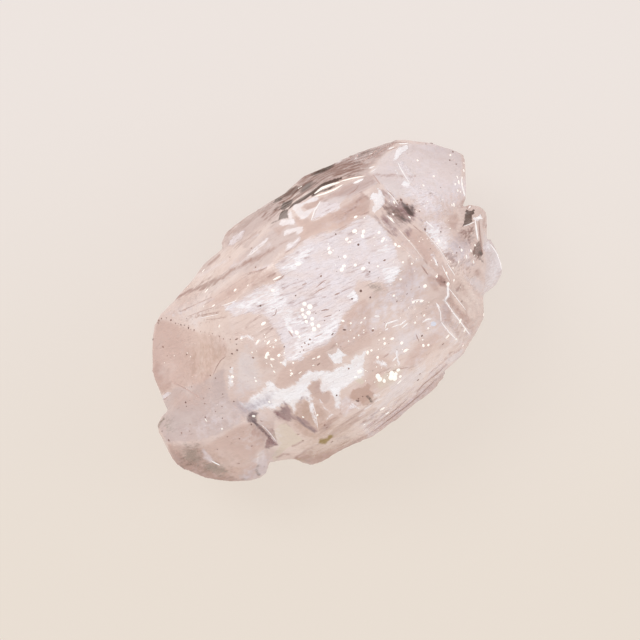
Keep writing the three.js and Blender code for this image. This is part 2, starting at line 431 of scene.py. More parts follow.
class Tint(Enum):
    """The tints of the stone, from the lowest layer to the highest."""

    PALE = Layer("pale", linear(212, 194, 191), Grain.WISP, 0.25, 0.25, 0.8)
    BLUSH = Layer("blush", linear(230, 219, 220), Grain.WISP, 0.3, 0.2, 0.8, 0.15)
    ROSE = Layer("rose", linear(215, 188, 179), Grain.WISP, 0.2, 0.25, 0.8, 0.05)
    # painted shade on the slopes behind the ridge and by the upper edge, and a darker tone below the ridge
    DUSKY_SHADE = Layer("dusky_shade", linear(195, 172, 168), Grain.STRIA, 0.3, 0.2, 0.85)
    CLAY = Layer("clay", linear(200, 171, 162), Grain.WISP, 0.25, 0.2, 0.85, 0.1)
    STRAW = Layer("straw", linear(222, 208, 192), Grain.WISP, 0.25, 0.3, 0.7)
    SHADE = Layer("shade", linear(160, 130, 124), Grain.STRIA, 0.6, 0.25, 0.85)
    # painted shade on the steep side behind the ridge
    RIDGE_SHADE = Layer("ridge_shade", linear(158, 126, 117), Grain.STRIA, 0.8, 0.15, 0.9)
    TAN = Layer("tan", linear(168, 128, 98), Grain.WISP, 0.4, 0.05, 1.0)
    STAIN = Layer("stain", linear(172, 138, 130), Grain.STRIA, 0.3, 0.12, 0.65)
    MOSS = Layer("moss", linear(124, 112, 97), Grain.STRIA, 0.4, 0.12, 0.8)
    MILK = Layer("milk", linear(232, 222, 226), Grain.DASH, 0.38, 0.3, 0.7, 0.4)
    HAZE = Layer("haze", linear(238, 231, 239), Grain.WISP, 0.5, 0.05, 1.0)
    FROST = Layer("frost", linear(252, 250, 254), Grain.DRIP, 0.42, 0.26, 0.78, 0.28)
    # painted shade under the frost beside the blade, and a lilac-grey tone on the steps
    LILAC = Layer("lilac", linear(184, 173, 182), Grain.DRIP, 0.25, 0.15, 0.95)
    SNOW = Layer("snow", linear(250, 247, 251), Grain.DASH, 0.7, 0.36, 0.78, 0.3)
    MAUVE = Layer("mauve", linear(146, 114, 117), Grain.DRIP, 0.35, 0.25, 0.85)
    # painted shade in the blade's crack, and dark marks beside it and on the milky face
    SLATE = Layer("slate", linear(86, 68, 80), Grain.DRIP, 0.25, 0.25, 0.85)
    BROWN = Layer("brown", linear(188, 152, 138), Grain.WISP, 0.5, 0.3, 0.7, 0.2)
    OCHRE = Layer("ochre", linear(176, 152, 106), Grain.WISP, 0.35, 0.15, 0.85)
    # painted shade behind the ridge, and grey-brown patches on the steps
    GREY = Layer("grey", linear(128, 102, 94), Grain.STRIA, 0.4, 0.2, 0.8)
    SOOT = Layer("soot", linear(80, 64, 60), Grain.DRIP, 0.6, 0.25, 0.9)
    # painted shade along the ridge and behind it, and a few dark patches elsewhere
    SMOKE = Layer("smoke", linear(90, 70, 62), Grain.WISP, 0.25, 0.28, 0.72)
    ICE = Layer("ice", linear(224, 232, 250), Grain.WISP, 0.1, 0.3, 0.7)
    GLEAM = Layer("gleam", linear(251, 247, 251), Grain.DASH, 0.5, 0.22, 0.85, 0.25)


EDGE_SHARE = 0.9
EDGE_RANGE = (0.1, 0.45)


@dataclass(frozen=True)
class Zone:
    """A patch inside a ring of corners, seen in plan, in millimetres."""

    ring: tuple[Plan, ...]
    strength: float
    softness: float

    def weights(self, points: np.ndarray) -> np.ndarray:
        """Grades each point by how far it lies inside the ring.

        Args:
            points: Places in plan, one a row.

        Returns:
            Half the zone's strength on the ring, all of it well inside and nothing well outside.
        """
        corners = np.array(self.ring)
        x, y = corners.T
        area = abs(x @ np.roll(y, -1) - y @ np.roll(x, -1)) / 2.0
        around = np.linalg.norm(corners - np.roll(corners, 1, axis=0), axis=1).sum()
        reach = self.softness * np.clip(EDGE_SHARE * area / around, *EDGE_RANGE)
        low = corners.min(axis=0) - reach
        high = corners.max(axis=0) + reach
        near = np.all((points > low) & (points < high), axis=1)
        place = points[near]
        nearest = np.full(len(place), np.inf)
        inside = np.zeros(len(place), bool)
        for start, end in zip(corners, np.roll(corners, -1, axis=0)):
            run = end - start
            along = np.clip((place - start) @ run / (run @ run), 0.0, 1.0)
            nearest = np.minimum(nearest, np.linalg.norm(place - start - along[:, None] * run, axis=1))
            if run[1]:
                crossing = start[0] + (place[:, 1] - start[1]) * run[0] / run[1]
                inside ^= ((start[1] > place[:, 1]) != (end[1] > place[:, 1])) & (place[:, 0] < crossing)
        depth = np.where(inside, nearest, -nearest)
        result = np.zeros(len(points))
        result[near] = self.strength * np.clip(0.5 + depth / (2.0 * reach), 0.0, 1.0)
        return result


@dataclass(frozen=True)
class Stroke:
    """A mark along a line of places, seen in plan, in millimetres."""

    line: tuple[Plan, ...]
    half_width: float
    strength: float
    reach: float

    def weights(self, points: np.ndarray) -> np.ndarray:
        """Grades each point by how near it lies to the line.

        Args:
            points: Places in plan, one a row.

        Returns:
            Half the stroke's strength at its half width, more inside and nothing well outside.
        """
        gap = np.full(len(points), np.inf)
        for first, second in zip(self.line, self.line[1:]):
            start = np.array(first)
            run = np.array(second) - start
            along = np.clip((points - start) @ run / (run @ run), 0.0, 1.0)
            gap = np.minimum(gap, np.linalg.norm(points - start - along[:, None] * run, axis=1))
        return self.strength * np.clip(0.5 + (self.half_width - gap) / (2.0 * self.reach), 0.0, 1.0)


Marks = tuple[Zone | Stroke, ...]


def places(numbers: Sequence[float]) -> tuple[Plan, ...]:
    """Turns x and y, given in turn, into places in plan."""
    return tuple(zip(numbers[::2], numbers[1::2]))


def zones(*rows: tuple[float, ...]) -> Marks:
    """Makes a zone of each row of strength, softness and the x and y of its corners, in turn."""
    return tuple(Zone(places(row[2:]), *row[:2]) for row in rows)


def strokes(*rows: tuple[float, ...]) -> Marks:
    """Makes a stroke of each row of half width, strength, reach and the x and y of its places, in turn."""
    return tuple(Stroke(places(row[3:]), *row[:3]) for row in rows)


MARKS: dict[Tint, Marks] = {}
MARKS[Tint.PALE] = zones(
    (1, 0.6, -14.9, 1, -14.4, 2.2, -13.4, 2.7, -12.9, 3.3, -11.7, 3.5, -11, 2.9, -9.8, 2.5, -8.9, 2.3,
        -8.1, 2, -8.9, 0.9, -9.3, -0.1, -9.5, -1, -9.4, -1.7, -10.6, -1.5, -11.6, -1.2, -12.6, -0.8,
        -13.6, -0.2, -14.4, 0.5),
    (0.85, 1.2, -5, 7.4, -3, 7.3, 0, 7.5, 1.9, 7.4, 2.2, 6.6, 2, 5.8, 0.6, 5.4, -0.6, 5.3, -2.2, 6.1,
        -3.6, 6.7, -5, 6.8),
    (0.8, 1, 1, 7.6, 3.2, 8, 3.2, 5, 0.8, 5.3),
)
MARKS[Tint.BLUSH] = zones(
    # the face beside the point, and the heel
    (1, 0.6, 9.35, 5.5, 11, 5.8, 12.8, 5.4, 14.1, 4.2, 15.3, 2.6, 15.2, 1.8, 14.2, 0.9, 13.4, 0.2, 12, 0.8,
        11, 2.2, 10.2, 2.4, 9.4, 3.2),
    (1, 0.5, 9.6, -6.6, 10.6, -5.8, 11.4, -4.9, 12.6, -3.3, 12.9, -4.2, 12.7, -5.4, 12.2, -6.3, 11.2, -6.9,
        9.9, -6.9),
    (0.8, 1, -2, -7.4, 1.4, -6.9, 3, -7.5, 2.6, -8.2, 0, -8, -3, -7.8),
    (0.7, 1, 1.6, -5, 3, -4.3, 4.4, -5, 4.4, -5.8, 1.8, -6),
    (0.7, 1, -7, 2, -5.4, 2.4, -5.9, 0.6, -6.6, -0.8, -8.4, -0.4, -8.7, 0.4),
    (0.5, 1, -8.6, 7.9, -5.4, 7.7, -2.6, 6.6, -5, 5.9, -7.7, 5.3),
    (0.9, 0.5, -3.9, -5.4, -2.7, -5.3, -2.5, -6.4, -3.8, -6.3),
    (0.9, 1, 3.9, -8.7, 4.4, -8.3, 5.6, -8.4, 6, -8.7, 5.2, -8.9),
    (0.9, 0.6, -11.4, -5, -10.9, -4.6, -10.3, -4.2, -9.9, -4.3, -10.2, -4.9, -10.4, -5.4, -11, -5.75,
        -11.5, -5.5),
    (0.95, 0.5, 3.8, 5.75, 5.3, 6.38, 6.2, 6.3, 7.2, 6.15, 8.4, 5.7, 9.2, 5.5, 9.3, 4.6, 8.1, 4.9, 7, 5.3,
        5, 5.35),
    (0.45, 0.6, 7.35, 0.9, 8.05, 1, 8.05, -2.6, 7.6, -2.6, 7.35, -1),
    (0.8, 1, -5.8, -7.15, -4.2, -7.4, -3.2, -7.7, -3.8, -8, -5, -7.9, -5.8, -7.6),
    # a painted highlight on the lobe's edge
    (0.9, 0.6, -13.65, -1.95, -13.35, -1.5, -13.15, -1.4, -13.15, -2.4, -13.4, -2.35),
    (0.7, 1, 9.5, -4.8, 10.2, -5.2, 10.3, -6.2, 9.5, -6.7, 9.4, -5.6),
    (0.62, 0.7, 0.9, -6.4, 1.5, -6.75, 2.8, -7.5, 2.2, -7.9, 0.4, -7.9, -0.4, -7.4, 0, -6.6),
)
MARKS[Tint.ROSE] = zones(
    # the flank, the lobe and the bands beside the milky face
    (0.85, 0.5, -11.9, 6, -11, 6.9, -10, 7.6, -9.2, 7.95, -8.75, 7.35, -8.3, 6.6, -8, 6, -7.75, 5.55,
        -7.5, 5.1, -6.95, 4.45, -6.65, 3.8, -6.5, 3.2, -7.3, 2.62, -8.2, 2.6, -9, 2.2, -10, 2.3, -11.2, 3,
        -11.7, 3.7, -11.7, 4.4, -11.8, 5.3),
    (0.55, 1.8, -12.9, 3.3, -11.7, 3.6, -10.9, 2.9, -9.8, 2.5, -8.9, 2.3, -9.5, 1.3, -11, 1, -12.8, 1.5,
        -13.4, 2.6),
    (0.7, 1, -6.8, 6.3, -5, 6.9, -3.4, 6.6, -2.1, 6, -0.9, 5.4, -0.4, 5, -0.4, 4.2, -1.1, 4.25, -2.2, 4.7,
        -2.9, 4.9, -4, 5.1, -5, 5.5),
    (1, 0.6, 0.7, 5.3, 2.4, 5.3, 2.9, 6.4, 3.2, 6.9, 3.3, 6.3, 3.9, 5.9, 5, 5.4, 6, 5, 7.9, 4.9, 8, 4.1,
        7.9, 3.8, 7.2, 3.4, 6.3, 3.9, 6, 3.65, 5.2, 3.8, 4.3, 4.4, 3.2, 4.9, 2.2, 5.1),
    (1, 0.7, -6.1, -1.3, -5.4, -0.9, -4.6, -0.7, -4, -0.9, -3.2, -1.2, -2.3, -1.3, -1.2, -1.65, 0.1, -1.3,
        1.2, -0.9, 2.1, -0.8, 2.9, -1, 3, -1.9, 2.2, -2.5, 1.9, -3.3, 1.1, -3.9, 0.1, -3.6, -0.7, -3.4,
        -0.9, -2.3, -1.7, -2, -1.9, -3.2, -2.4, -3.3, -3.2, -2.7, -4, -2.3, -4.9, -2.2, -5.8, -1.9),
    (1, 0.6, -13.7, -0.9, -13, -1.15, -11.8, -1.4, -10.4, -1.65, -9.5, -1.85, -9.15, -2.4, -9.1, -3.6,
        -9.7, -4, -10.5, -4.1, -11.2, -4.9, -11.9, -5.3, -12.9, -4.9, -13.6, -3.8, -13.8, -2.2),
    (1, 0.3, 8.15, 0.7, 8.9, 0.5, 9.35, -0.3, 9.3, -2.2, 8.9, -3.2, 8.4, -4.3, 8.1, -4.1, 8.05, -2,
        8.15, -0.4),
    (1, 0.35, 7.2, -5, 7.9, -4.8, 7.9, -6.6, 7.6, -7.4, 7.15, -7.6),
    (1, 1, -8.6, -6.4, -6.8, -6.7, -5, -7, -3, -7.9, 0, -8.4, 3, -8.5, 4.4, -8.7, 3.4, -9.5, 1.8, -9.7,
        -3.5, -9.4, -6, -8.8, -8.2, -8),
    (0.6, 1, 3, -1.2, 4, -1.9, 4.8, -2.9, 6.9, -2.4, 7.2, -1, 6.6, -1.3, 5.4, -1.8, 4.4, -1.7, 3.6, -0.9),
    (0.9, 1, -5.3, 1.5, -4.3, 1.2, -3.7, 0.4, -4.2, -0.1, -4.1, -0.6, -5, -0.6, -6.1, 0.2),
    (0.9, 1, 5.2, 8.6, 6, 8.5, 6.3, 8.1, 6, 7.9, 5, 8.15),
    (0.7, 1, 3.4, -6, 5.4, -6.1, 5.8, -6.9, 4.4, -7.4, 3.2, -6.9),
    (0.6, 1, 0.8, -2.6, 2.4, -2.9, 3.6, -3.6, 3, -4.4, 1.2, -3.9, 0.6, -3.2),
    (0.85, 1, -6.4, -3.4, -3.4, -3, -3.2, -5.4, -0.8, -5.2, 0.4, -4.3, 1.2, -4.4, 1.4, -5.8, -0.6, -6.6,
        -2.6, -6.9, -6.6, -6.6, -7.2, -5.2, -7.2, -4.2),
    (0.9, 0.6, 1.7, -6.4, 3.9, -6, 4.3, -7.2, 2.9, -7.35, 2.2, -6.9),
)
MARKS[Tint.DUSKY_SHADE] = zones(
    # painted shade on the slope behind the ridge and by the upper edge
    (0.9, 1.2, -2.4, 8.6, -1.8, 9.4, 0, 9.4, 2, 9.2, 3.4, 8.9, 3.4, 7.7, 2.4, 7.5, 1.4, 7.6, 0, 7.8,
        -1.2, 8),
    (0.7, 1.2, -5, 8.6, -3.8, 8.9, -2.6, 8.7, -2.8, 8.2, -4.4, 8.1),
    (0.6, 1, -1.3, 7.9, -0.4, 8.1, 0.6, 7.7, 0.2, 7.4, -1, 7.3),
    (1, 0.5, 4.9, 8.9, 7, 8.6, 9, 7.9, 11.4, 6.9, 12.8, 6, 11.8, 5.9, 9.8, 5.8, 9.2, 5.5, 7.6, 6.7, 5, 7.4),
    # a darker tone below the ridge
    (0.72, 0.8, 6, 6.3, 7.2, 6.1, 8.4, 5.7, 9.4, 6, 9.35, 4.6, 8.1, 4.8, 7, 5.2, 6.4, 5.6),
)
MARKS[Tint.CLAY] = zones(
    (0.85, 0.5, -12.7, 3.8, -12.6, 4.9, -12.1, 5.6, -11.5, 5.8, -11.15, 5.2, -11.05, 4.75, -11.3, 4.45,
        -11.6, 4.1, -11.7, 3.65, -12.5, 3.6),
    (0.6, 1, -2.1, 5.9, -1.2, 5.4, -0.5, 5.1, -0.4, 4.2, -1.1, 4.25, -2.2, 4.7, -2.8, 4.9),
    (0.7, 0.6, 4.4, 5.3, 6, 4.95, 7.9, 4.85, 8, 4, 7.3, 3.5, 6.2, 4, 5.2, 4),
    (0.66, 0.3, 6.05, -6, 6.5, -5.4, 7.1, -4.95, 7.05, -6.9, 6.9, -8.1, 6.05, -7.9),
    (0.8, 0.8, -15.7, -1.4, -15.5, 0, -15, 0.9, -14.7, 0.8, -14, -0.2, -13.2, -0.9, -13, -2.5, -12.9, -4,
        -13, -4.9, -14.2, -3.9, -15.2, -2.6),
    (0.6, 1.8, -8.5, 3, -7.6, 4.5, -7.2, 4.7, -6.7, 3.9, -6.5, 3.2, -7.2, 2.7),
    (0.9, 1, 11.1, -0.8, 11.6, -0.6, 12.2, -0.9, 11.9, -1.4, 11.2, -1.8, 11, -1.3),
    (1, 0.6, 12.8, -0.5, 13.6, -0.4, 13.7, -1.2, 13, -1.3),
    (0.8, 1, -1.5, 9.5, -1, 9.3, 0.6, 9.2, 2.2, 9, 2, 9.3), (0.8, 0.4, 7.4, 3.6, 7.4, 4.6, 8, 4.9, 8.05, 4),
    # between the runs of the milky ridge
    (1, 0.5, -6.3, -3.7, -5.3, -3.6, -5.2, -4.2, -5.9, -5.4, -6.3, -4.7),
    (1, 0.5, -4.7, -3.1, -4.5, -4, -4.3, -4.8, -3.7, -4.7, -3.5, -4.3, -4, -3.9, -3.5, -3.3, -3.7, -2.9),
    (0.9, 0.5, -5, -4.5, -4.7, -4.4, -4.7, -5.5, -5.5, -5.6),
    (0.7, 1, -5.8, -5.9, -4.6, -5.8, -3.8, -6.4, -5.2, -6.5, -6.2, -6.4),
    # on the steps
    (1, 0.6, 7.6, -3.4, 8.1, -3.5, 8.2, -4.1, 7.9, -4.3, 7.6, -4),
    (0.7, 1.8, 10.1, -4.7, 10.8, -4.9, 10.6, -5.5, 10.1, -5.4),
    (0.8, 1, 13.7, -2.5, 13.2, -2.9, 12.8, -3.2, 12.9, -2.8, 13.4, -2.4),
    (0.7, 1, 7.1, -3, 7.6, -2.6, 7.8, -3.2, 7.4, -4.4, 7, -4),
    (0.8, 0.8, -8.7, -6.3, -7.4, -6.45, -6.4, -6.9, -5.2, -7.3, -4.6, -7.9, -3.6, -8.4, -3.6, -9,
        -5.5, -8.4, -7.6, -7.9, -8.5, -7.2),
    (0.4, 1.2, -14.5, -3.4, -13, -2, -12, -2.5, -12, -5.4, -13, -4.9),
    (0.95, 0.5, 4, 6.92, 4.4, 6.97, 5.2, 6.6, 5.7, 6.42, 4.8, 6.28, 4.2, 6.45),
    (0.85, 0.6, -6.4, -6.7, -5.4, -6.55, -3.8, -6.75, -2.4, -6.9, -3, -7.3, -4.4, -7.3, -5.6, -7),
    (0.8, 1, 7.2, -5, 7.7, -4.95, 7.6, -5.8, 7.25, -5.9),
    (0.6, 1.4, 8.3, -4.6, 9.1, -4.4, 9, -6, 8.5, -6.4),
    (0.6, 1, 5, -7.1, 5.5, -7.3, 5.8, -7.9, 4.9, -7.7, 4.2, -7.2),
    (0.6, 1, 2.6, 5.2, 3.3, 6.2, 3.9, 5.85, 5, 5.35, 4.6, 4.5, 3.2, 4.9),
    (0.66, 1, 1.3, 7.25, 2, 7.1, 2.7, 6.5, 2, 6.6, 1.3, 6.5),
    (0.4, 1, 5.6, -6.4, 5.9, -6, 5.9, -7.8, 5.5, -7.6),
    (0.55, 0.9, 5.2, 6.55, 6.4, 6.35, 7.6, 6.15, 8.7, 5.7, 8, 5.5, 6.6, 5.7, 5.9, 5.95, 5.2, 6),
    (0.6, 1, 3.1, 6.9, 3.3, 6.9, 3.5, 6.2, 4, 5.9, 3.2, 5.7, 2.9, 6.2),
    (0.4, 1.2, -6.1, -2.2, -4.4, -2.6, -4.3, -3.3, -5.3, -3.2, -6.2, -2.7),
) + strokes(
    # on the steps
    (0.1, 0.85, 0.2, 7.2, -1, 6.9, -1.6, 6.4, -2.3),
)
MARKS[Tint.STRAW] = zones(
    (1, 0.35, -8.7, -3.9, -7.9, -3.7, -7.35, -3.9, -7.25, -5.7, -7.6, -5.6, -8.7, -5.3, -9.9, -5.5,
        -9.8, -5, -8.8, -4.9),
    (0.8, 1, -1.6, -5, -1.1, -4.9, -1, -5.5, -1.4, -5.6),
    (0.6, 1, -0.8, -5.8, 1.6, -6, 1.8, -6.9, 0.4, -7.2, -0.8, -6.8),
)
MARKS[Tint.SHADE] = zones(
    # the soft streaks that run out of the dim band behind the ridge
    (0.8, 1.2, -1.5, 9.35, 0, 9.3, 1.5, 9.15, 2.9, 8.85, 2.9, 8.4, 2.2, 8.4, 1.4, 8.5, 0.4, 8.6, -0.6, 8.85,
        -1.2, 9.1),
    (0.7, 1, 9, 6.9, 10.4, 6.7, 12.2, 6.2, 12.5, 5.9, 10.6, 6.1, 9.2, 6.4),
    (0.8, 1, -7.3, 8.2, -6.5, 8.15, -5.6, 7.9, -4.6, 7.6, -3.6, 7.25, -3.4, 6.95, -4.4, 7, -5.4, 7.4,
        -6.3, 7.85),
    (0.5, 1.5, 9.2, -2.3, 9.8, -2.3, 10.4, -2.6, 10.8, -4.2, 10.2, -5.3, 9.6, -4.4, 9, -4.4, 9, -3.4),
    (0.6, 1, 11, -2, 12.4, -2.2, 11.8, -3.2, 11, -3.3), (0.5, 1.2, 9, -4.8, 8.2, -4.7, 8.2, -5.3, 9, -5.3),
    (0.9, 1.8, 9.25, -2.5, 9.75, -2.2, 10, -2.8, 9.7, -3.5, 9.3, -3.2),
    (0.8, 1.6, 11, -2.3, 11.5, -1.9, 12.1, -2.2, 12.5, -2.3, 12.2, -2.8, 11.6, -2.6),
)
MARKS[Tint.RIDGE_SHADE] = zones(
    # painted shade on the steep side behind the ridge, which takes in much of the pale light
    (0.72, 0.7, 2.9, 8.85, 4.2, 8.7, 4.9, 8.5, 5.6, 8.8, 7, 8.4, 8.4, 7.9, 9, 7.5, 9.3, 6.6, 9.2, 6,
        8.8, 5.9, 7.6, 6.7, 7.2, 7.1, 6, 7.3, 4.4, 7.55, 3.3, 7.7, 2.8, 8.1),
    (0.42, 1, 8.6, 7.7, 10, 7.3, 11, 6.8, 10.2, 6.3, 9.2, 6, 8.8, 6.6),
    (0.5, 1, 2.4, 9, 3.6, 8.9, 3.3, 8.2, 2.4, 8.1), (0.85, 1, 6.2, 8.7, 7, 8.6, 8.2, 8.1, 8, 7.7, 6.4, 8),
    (0.5, 1.4, 1.4, 8.7, 3.2, 8.5, 3.3, 7.7, 2.2, 7.75, 1.4, 8),
    (0.8, 0.7, 3.8, 8.1, 5.2, 7.9, 6.6, 7.7, 7.7, 7.3, 8.3, 6.8, 7.6, 6.75, 7, 7.2, 5.6, 7.45, 3.9, 7.65),
)
MARKS[Tint.TAN] = zones(
    (0.3, 1.6, -15.6, -0.6, -13.4, -1.2, -12.4, -2, -11.4, -3.4, -10.4, -4.2, -11, -5.6, -12.6, -5.6,
        -14.6, -4),
    (0.4, 1.6, -7.2, -3.4, -4.8, -3.2, -4.4, -5.8, -3.6, -6.6, -4.2, -7.6, -5, -8.8, -8.4, -8.2, -9.2, -6.2,
        -7.4, -5.8),
    (0.36, 1.6, -10.6, 3.2, -9.4, 4.8, -7.6, 5, -6.6, 4, -6.8, 2.4, -9.2, 2.4),
    (0.3, 1.6, -7.4, 7.8, -4.4, 8.4, -3, 8, -3.4, 7, -5, 6.6, -7.2, 6.6),
)
MARKS[Tint.STAIN] = zones(
    # long soft streaks on the upper side
    (0.6, 1, 0.7, 5.3, 1.6, 5.15, 2.4, 5.1, 1.6, 5.35),
    # the plate below
    (1, 1, -5.6, -6, -5.2, -5.95, -5.1, -6.25, -5.5, -6.25),
    (0.85, 1, 7.6, -3.3, 8.1, -3.3, 8.25, -3.9, 8, -4.3, 7.7, -4),
) + strokes(
    # long soft streaks on the upper side
    (0.06, 0.55, 0.3, -4.6, 7.3, -3.6, 7.05, -2.4, 6.85, -1.2, 6.6, 0.2, 6.25, 1.6, 5.75),
    (0.08, 0.9, 0.2, -3.7, 7.1, -2.6, 6.95), (0.06, 1, 0.15, -2, 6.72, -1.2, 6.6),
    (0.08, 0.8, 0.25, -1.4, 6.45, -0.4, 6.25, 0.6, 6.1),
    (0.03, 0.9, 0.12, -2.1, 5.95, -1.5, 5.6, -0.8, 5.4), (0.1, 0.5, 0.3, -5.8, 7.75, -5, 7.45, -4.2, 7.3),
    (0.04, 0.7, 0.14, -5.2, 7.85, -4.2, 7.65), (0.06, 0.6, 0.2, -1.6, 8.05, -0.4, 7.95, 0.6, 7.7),
    (0.05, 1, 0.12, -3.8, 8.5, -2.8, 8.42), (0.1, 0.8, 0.25, -1.3, 9.15, 0.2, 9.05, 1.6, 8.85),
    (0.04, 1, 0.14, -1.2, 4.8, -0.7, 4.7),
    # the fan of striae beside the flank
    (0.05, 0.5, 0.18, -8.4, 7.65, -7, 7, -5, 6.2), (0.05, 0.5, 0.18, -8, 6.75, -6.5, 6.1, -5, 5.5),
    (0.05, 0.45, 0.18, -7.6, 5.9, -6.3, 5.2, -5.2, 4.75),
    (0.04, 0.85, 0.12, -7, 6.2, -6.2, 5.7, -5.6, 5.35), (0.05, 1, 0.14, -7.4, 8.22, -6.6, 8.12, -5.9, 7.95),
    # over the ridge and the band beside it
    (0.06, 0.9, 0.14, 8.6, 6.78, 9.5, 6.72), (0.08, 0.7, 0.18, 9.2, 7.4, 10.6, 6.9),
    (0.06, 0.7, 0.18, 8.9, 6.35, 9.8, 6.05, 10.8, 6.1), (0.1, 0.6, 0.2, 8, 7.3, 9.2, 7.05),
    (0.05, 0.9, 0.14, 6, 4.5, 6.9, 4.33), (0.06, 0.9, 0.14, 7.2, 4.55, 7.8, 4.62),
    (0.06, 0.6, 0.18, 7.9, 4.9, 8, 4), (0.05, 0.8, 0.14, 6.4, 3.9, 7.3, 3.45),
    (0.06, 0.6, 0.14, 9.5, 5.2, 10.3, 4.4, 11.1, 3.6, 11.7, 3.1),
    # on the etched face
    (0.05, 0.9, 0.14, -4.8, 3.2, -4.2, 3.25, -3.5, 3.1), (0.04, 0.9, 0.12, -4.3, 1.9, -3.4, 1.86),
    (0.1, 0.4, 0.25, -5, 2.6, -4.2, 2.5, -3.4, 2.2),
    # the plate below
    (0.05, 0.7, 0.16, -4.3, -8.4, -3.4, -8.62, -2, -8.78, -0.5, -8.9, 1, -8.98, 2.5, -8.98, 3.2, -8.85),
    (0.05, 0.7, 0.16, -3.4, -8.25, -2, -8.47, -1, -8.57, 0.4, -8.52),
    (0.06, 0.9, 0.14, 1.2, -8.72, 2.2, -8.58, 3.2, -8.66, 4.2, -8.6),
    (0.06, 0.75, 0.2, -5.4, -6.8, -3.8, -6.8, -2.6, -6.95, -1.3, -7),
    (0.05, 0.65, 0.2, -5.6, -6.95, -4.2, -7.2, -3, -7.35, -1.8, -7.5),
    (0.06, 0.9, 0.14, -5.4, -7.3, -5, -7.45, -4.7, -7.8), (0.07, 0.8, 0.16, -3.1, -7.7, -2.1, -8),
    (0.05, 0.8, 0.14, -8.6, -6.3, -7.4, -6.45, -6.5, -6.7), (0.05, 0.8, 0.14, -8.1, -5.5, -7.3, -5.75),
    (0.05, 0.7, 0.14, -9.6, -5.35, -9, -5.5, -8.75, -5.9),
    (0.05, 0.6, 0.18, 0, -5.65, 0.8, -6, 1.6, -6.5, 2.5, -7.2), (0.12, 0.6, 0.25, -6.1, -6.1, -5, -6.1),
    (0.05, 0.7, 0.16, 3.9, -3.4, 4.6, -3.6, 5.1, -3.85), (0.03, 0.8, 0.12, 4.4, -8.25, 5, -8.15, 5.6, -8.5),
)
MARKS[Tint.MOSS] = zones(
    # grey-green shadows in the lobe
    (0.72, 1.7, -14.85, -0.8, -14.4, -0.5, -13.95, -0.2, -13.3, -0.85, -13.45, -1.25, -13.7, -1.7,
        -14.3, -1.95, -14.85, -1.5),
    (0.88, 1.8, -14.2, -2.3, -13.6, -2.3, -13.25, -2.6, -12.95, -3.4, -13.1, -3.7, -13.7, -3.2),
    (0.3, 1.5, -14.6, -1.6, -13.8, -1.5, -13.1, -2, -12.9, -3.6, -12.9, -4.5, -13.8, -3.6, -14.5, -2.6),
    (0.33, 1.6, -14.1, 2.3, -13.4, 2.2, -13.2, 1.5, -13.9, 1.1, -14.5, 1.5),
    (0.4, 1.6, 3.6, -0.4, 4.1, -0.5, 4.5, -1, 4.4, -1.5, 3.9, -1.2),
    (0.34, 1.4, -14.9, -1, -13.9, -0.5, -13.2, -1.2, -13.4, -2.4, -12.8, -3.6, -12.6, -4.6, -13.6, -3.8,
        -14.6, -2.6),
) + strokes(
    # grey-green shadows in the lobe
    (0.05, 0.6, 0.12, -15.2, -0.9, -15.2, -1.4), (0.06, 0.7, 0.14, -14.7, 2.05, -14.3, 2.2, -13.8, 2.3),
    (0.08, 0.85, 0.14, -11.45, -5.4, -11.3, -4.95, -11, -4.9),
    (0.05, 0.8, 0.12, -10.75, -5.25, -10.95, -4.95), (0.06, 0.6, 0.12, -12.5, -4.85, -12.2, -5.25),
    (0.06, 0.6, 0.2, -13.7, -3.4, -13.3, -4, -12.85, -4.5),
)
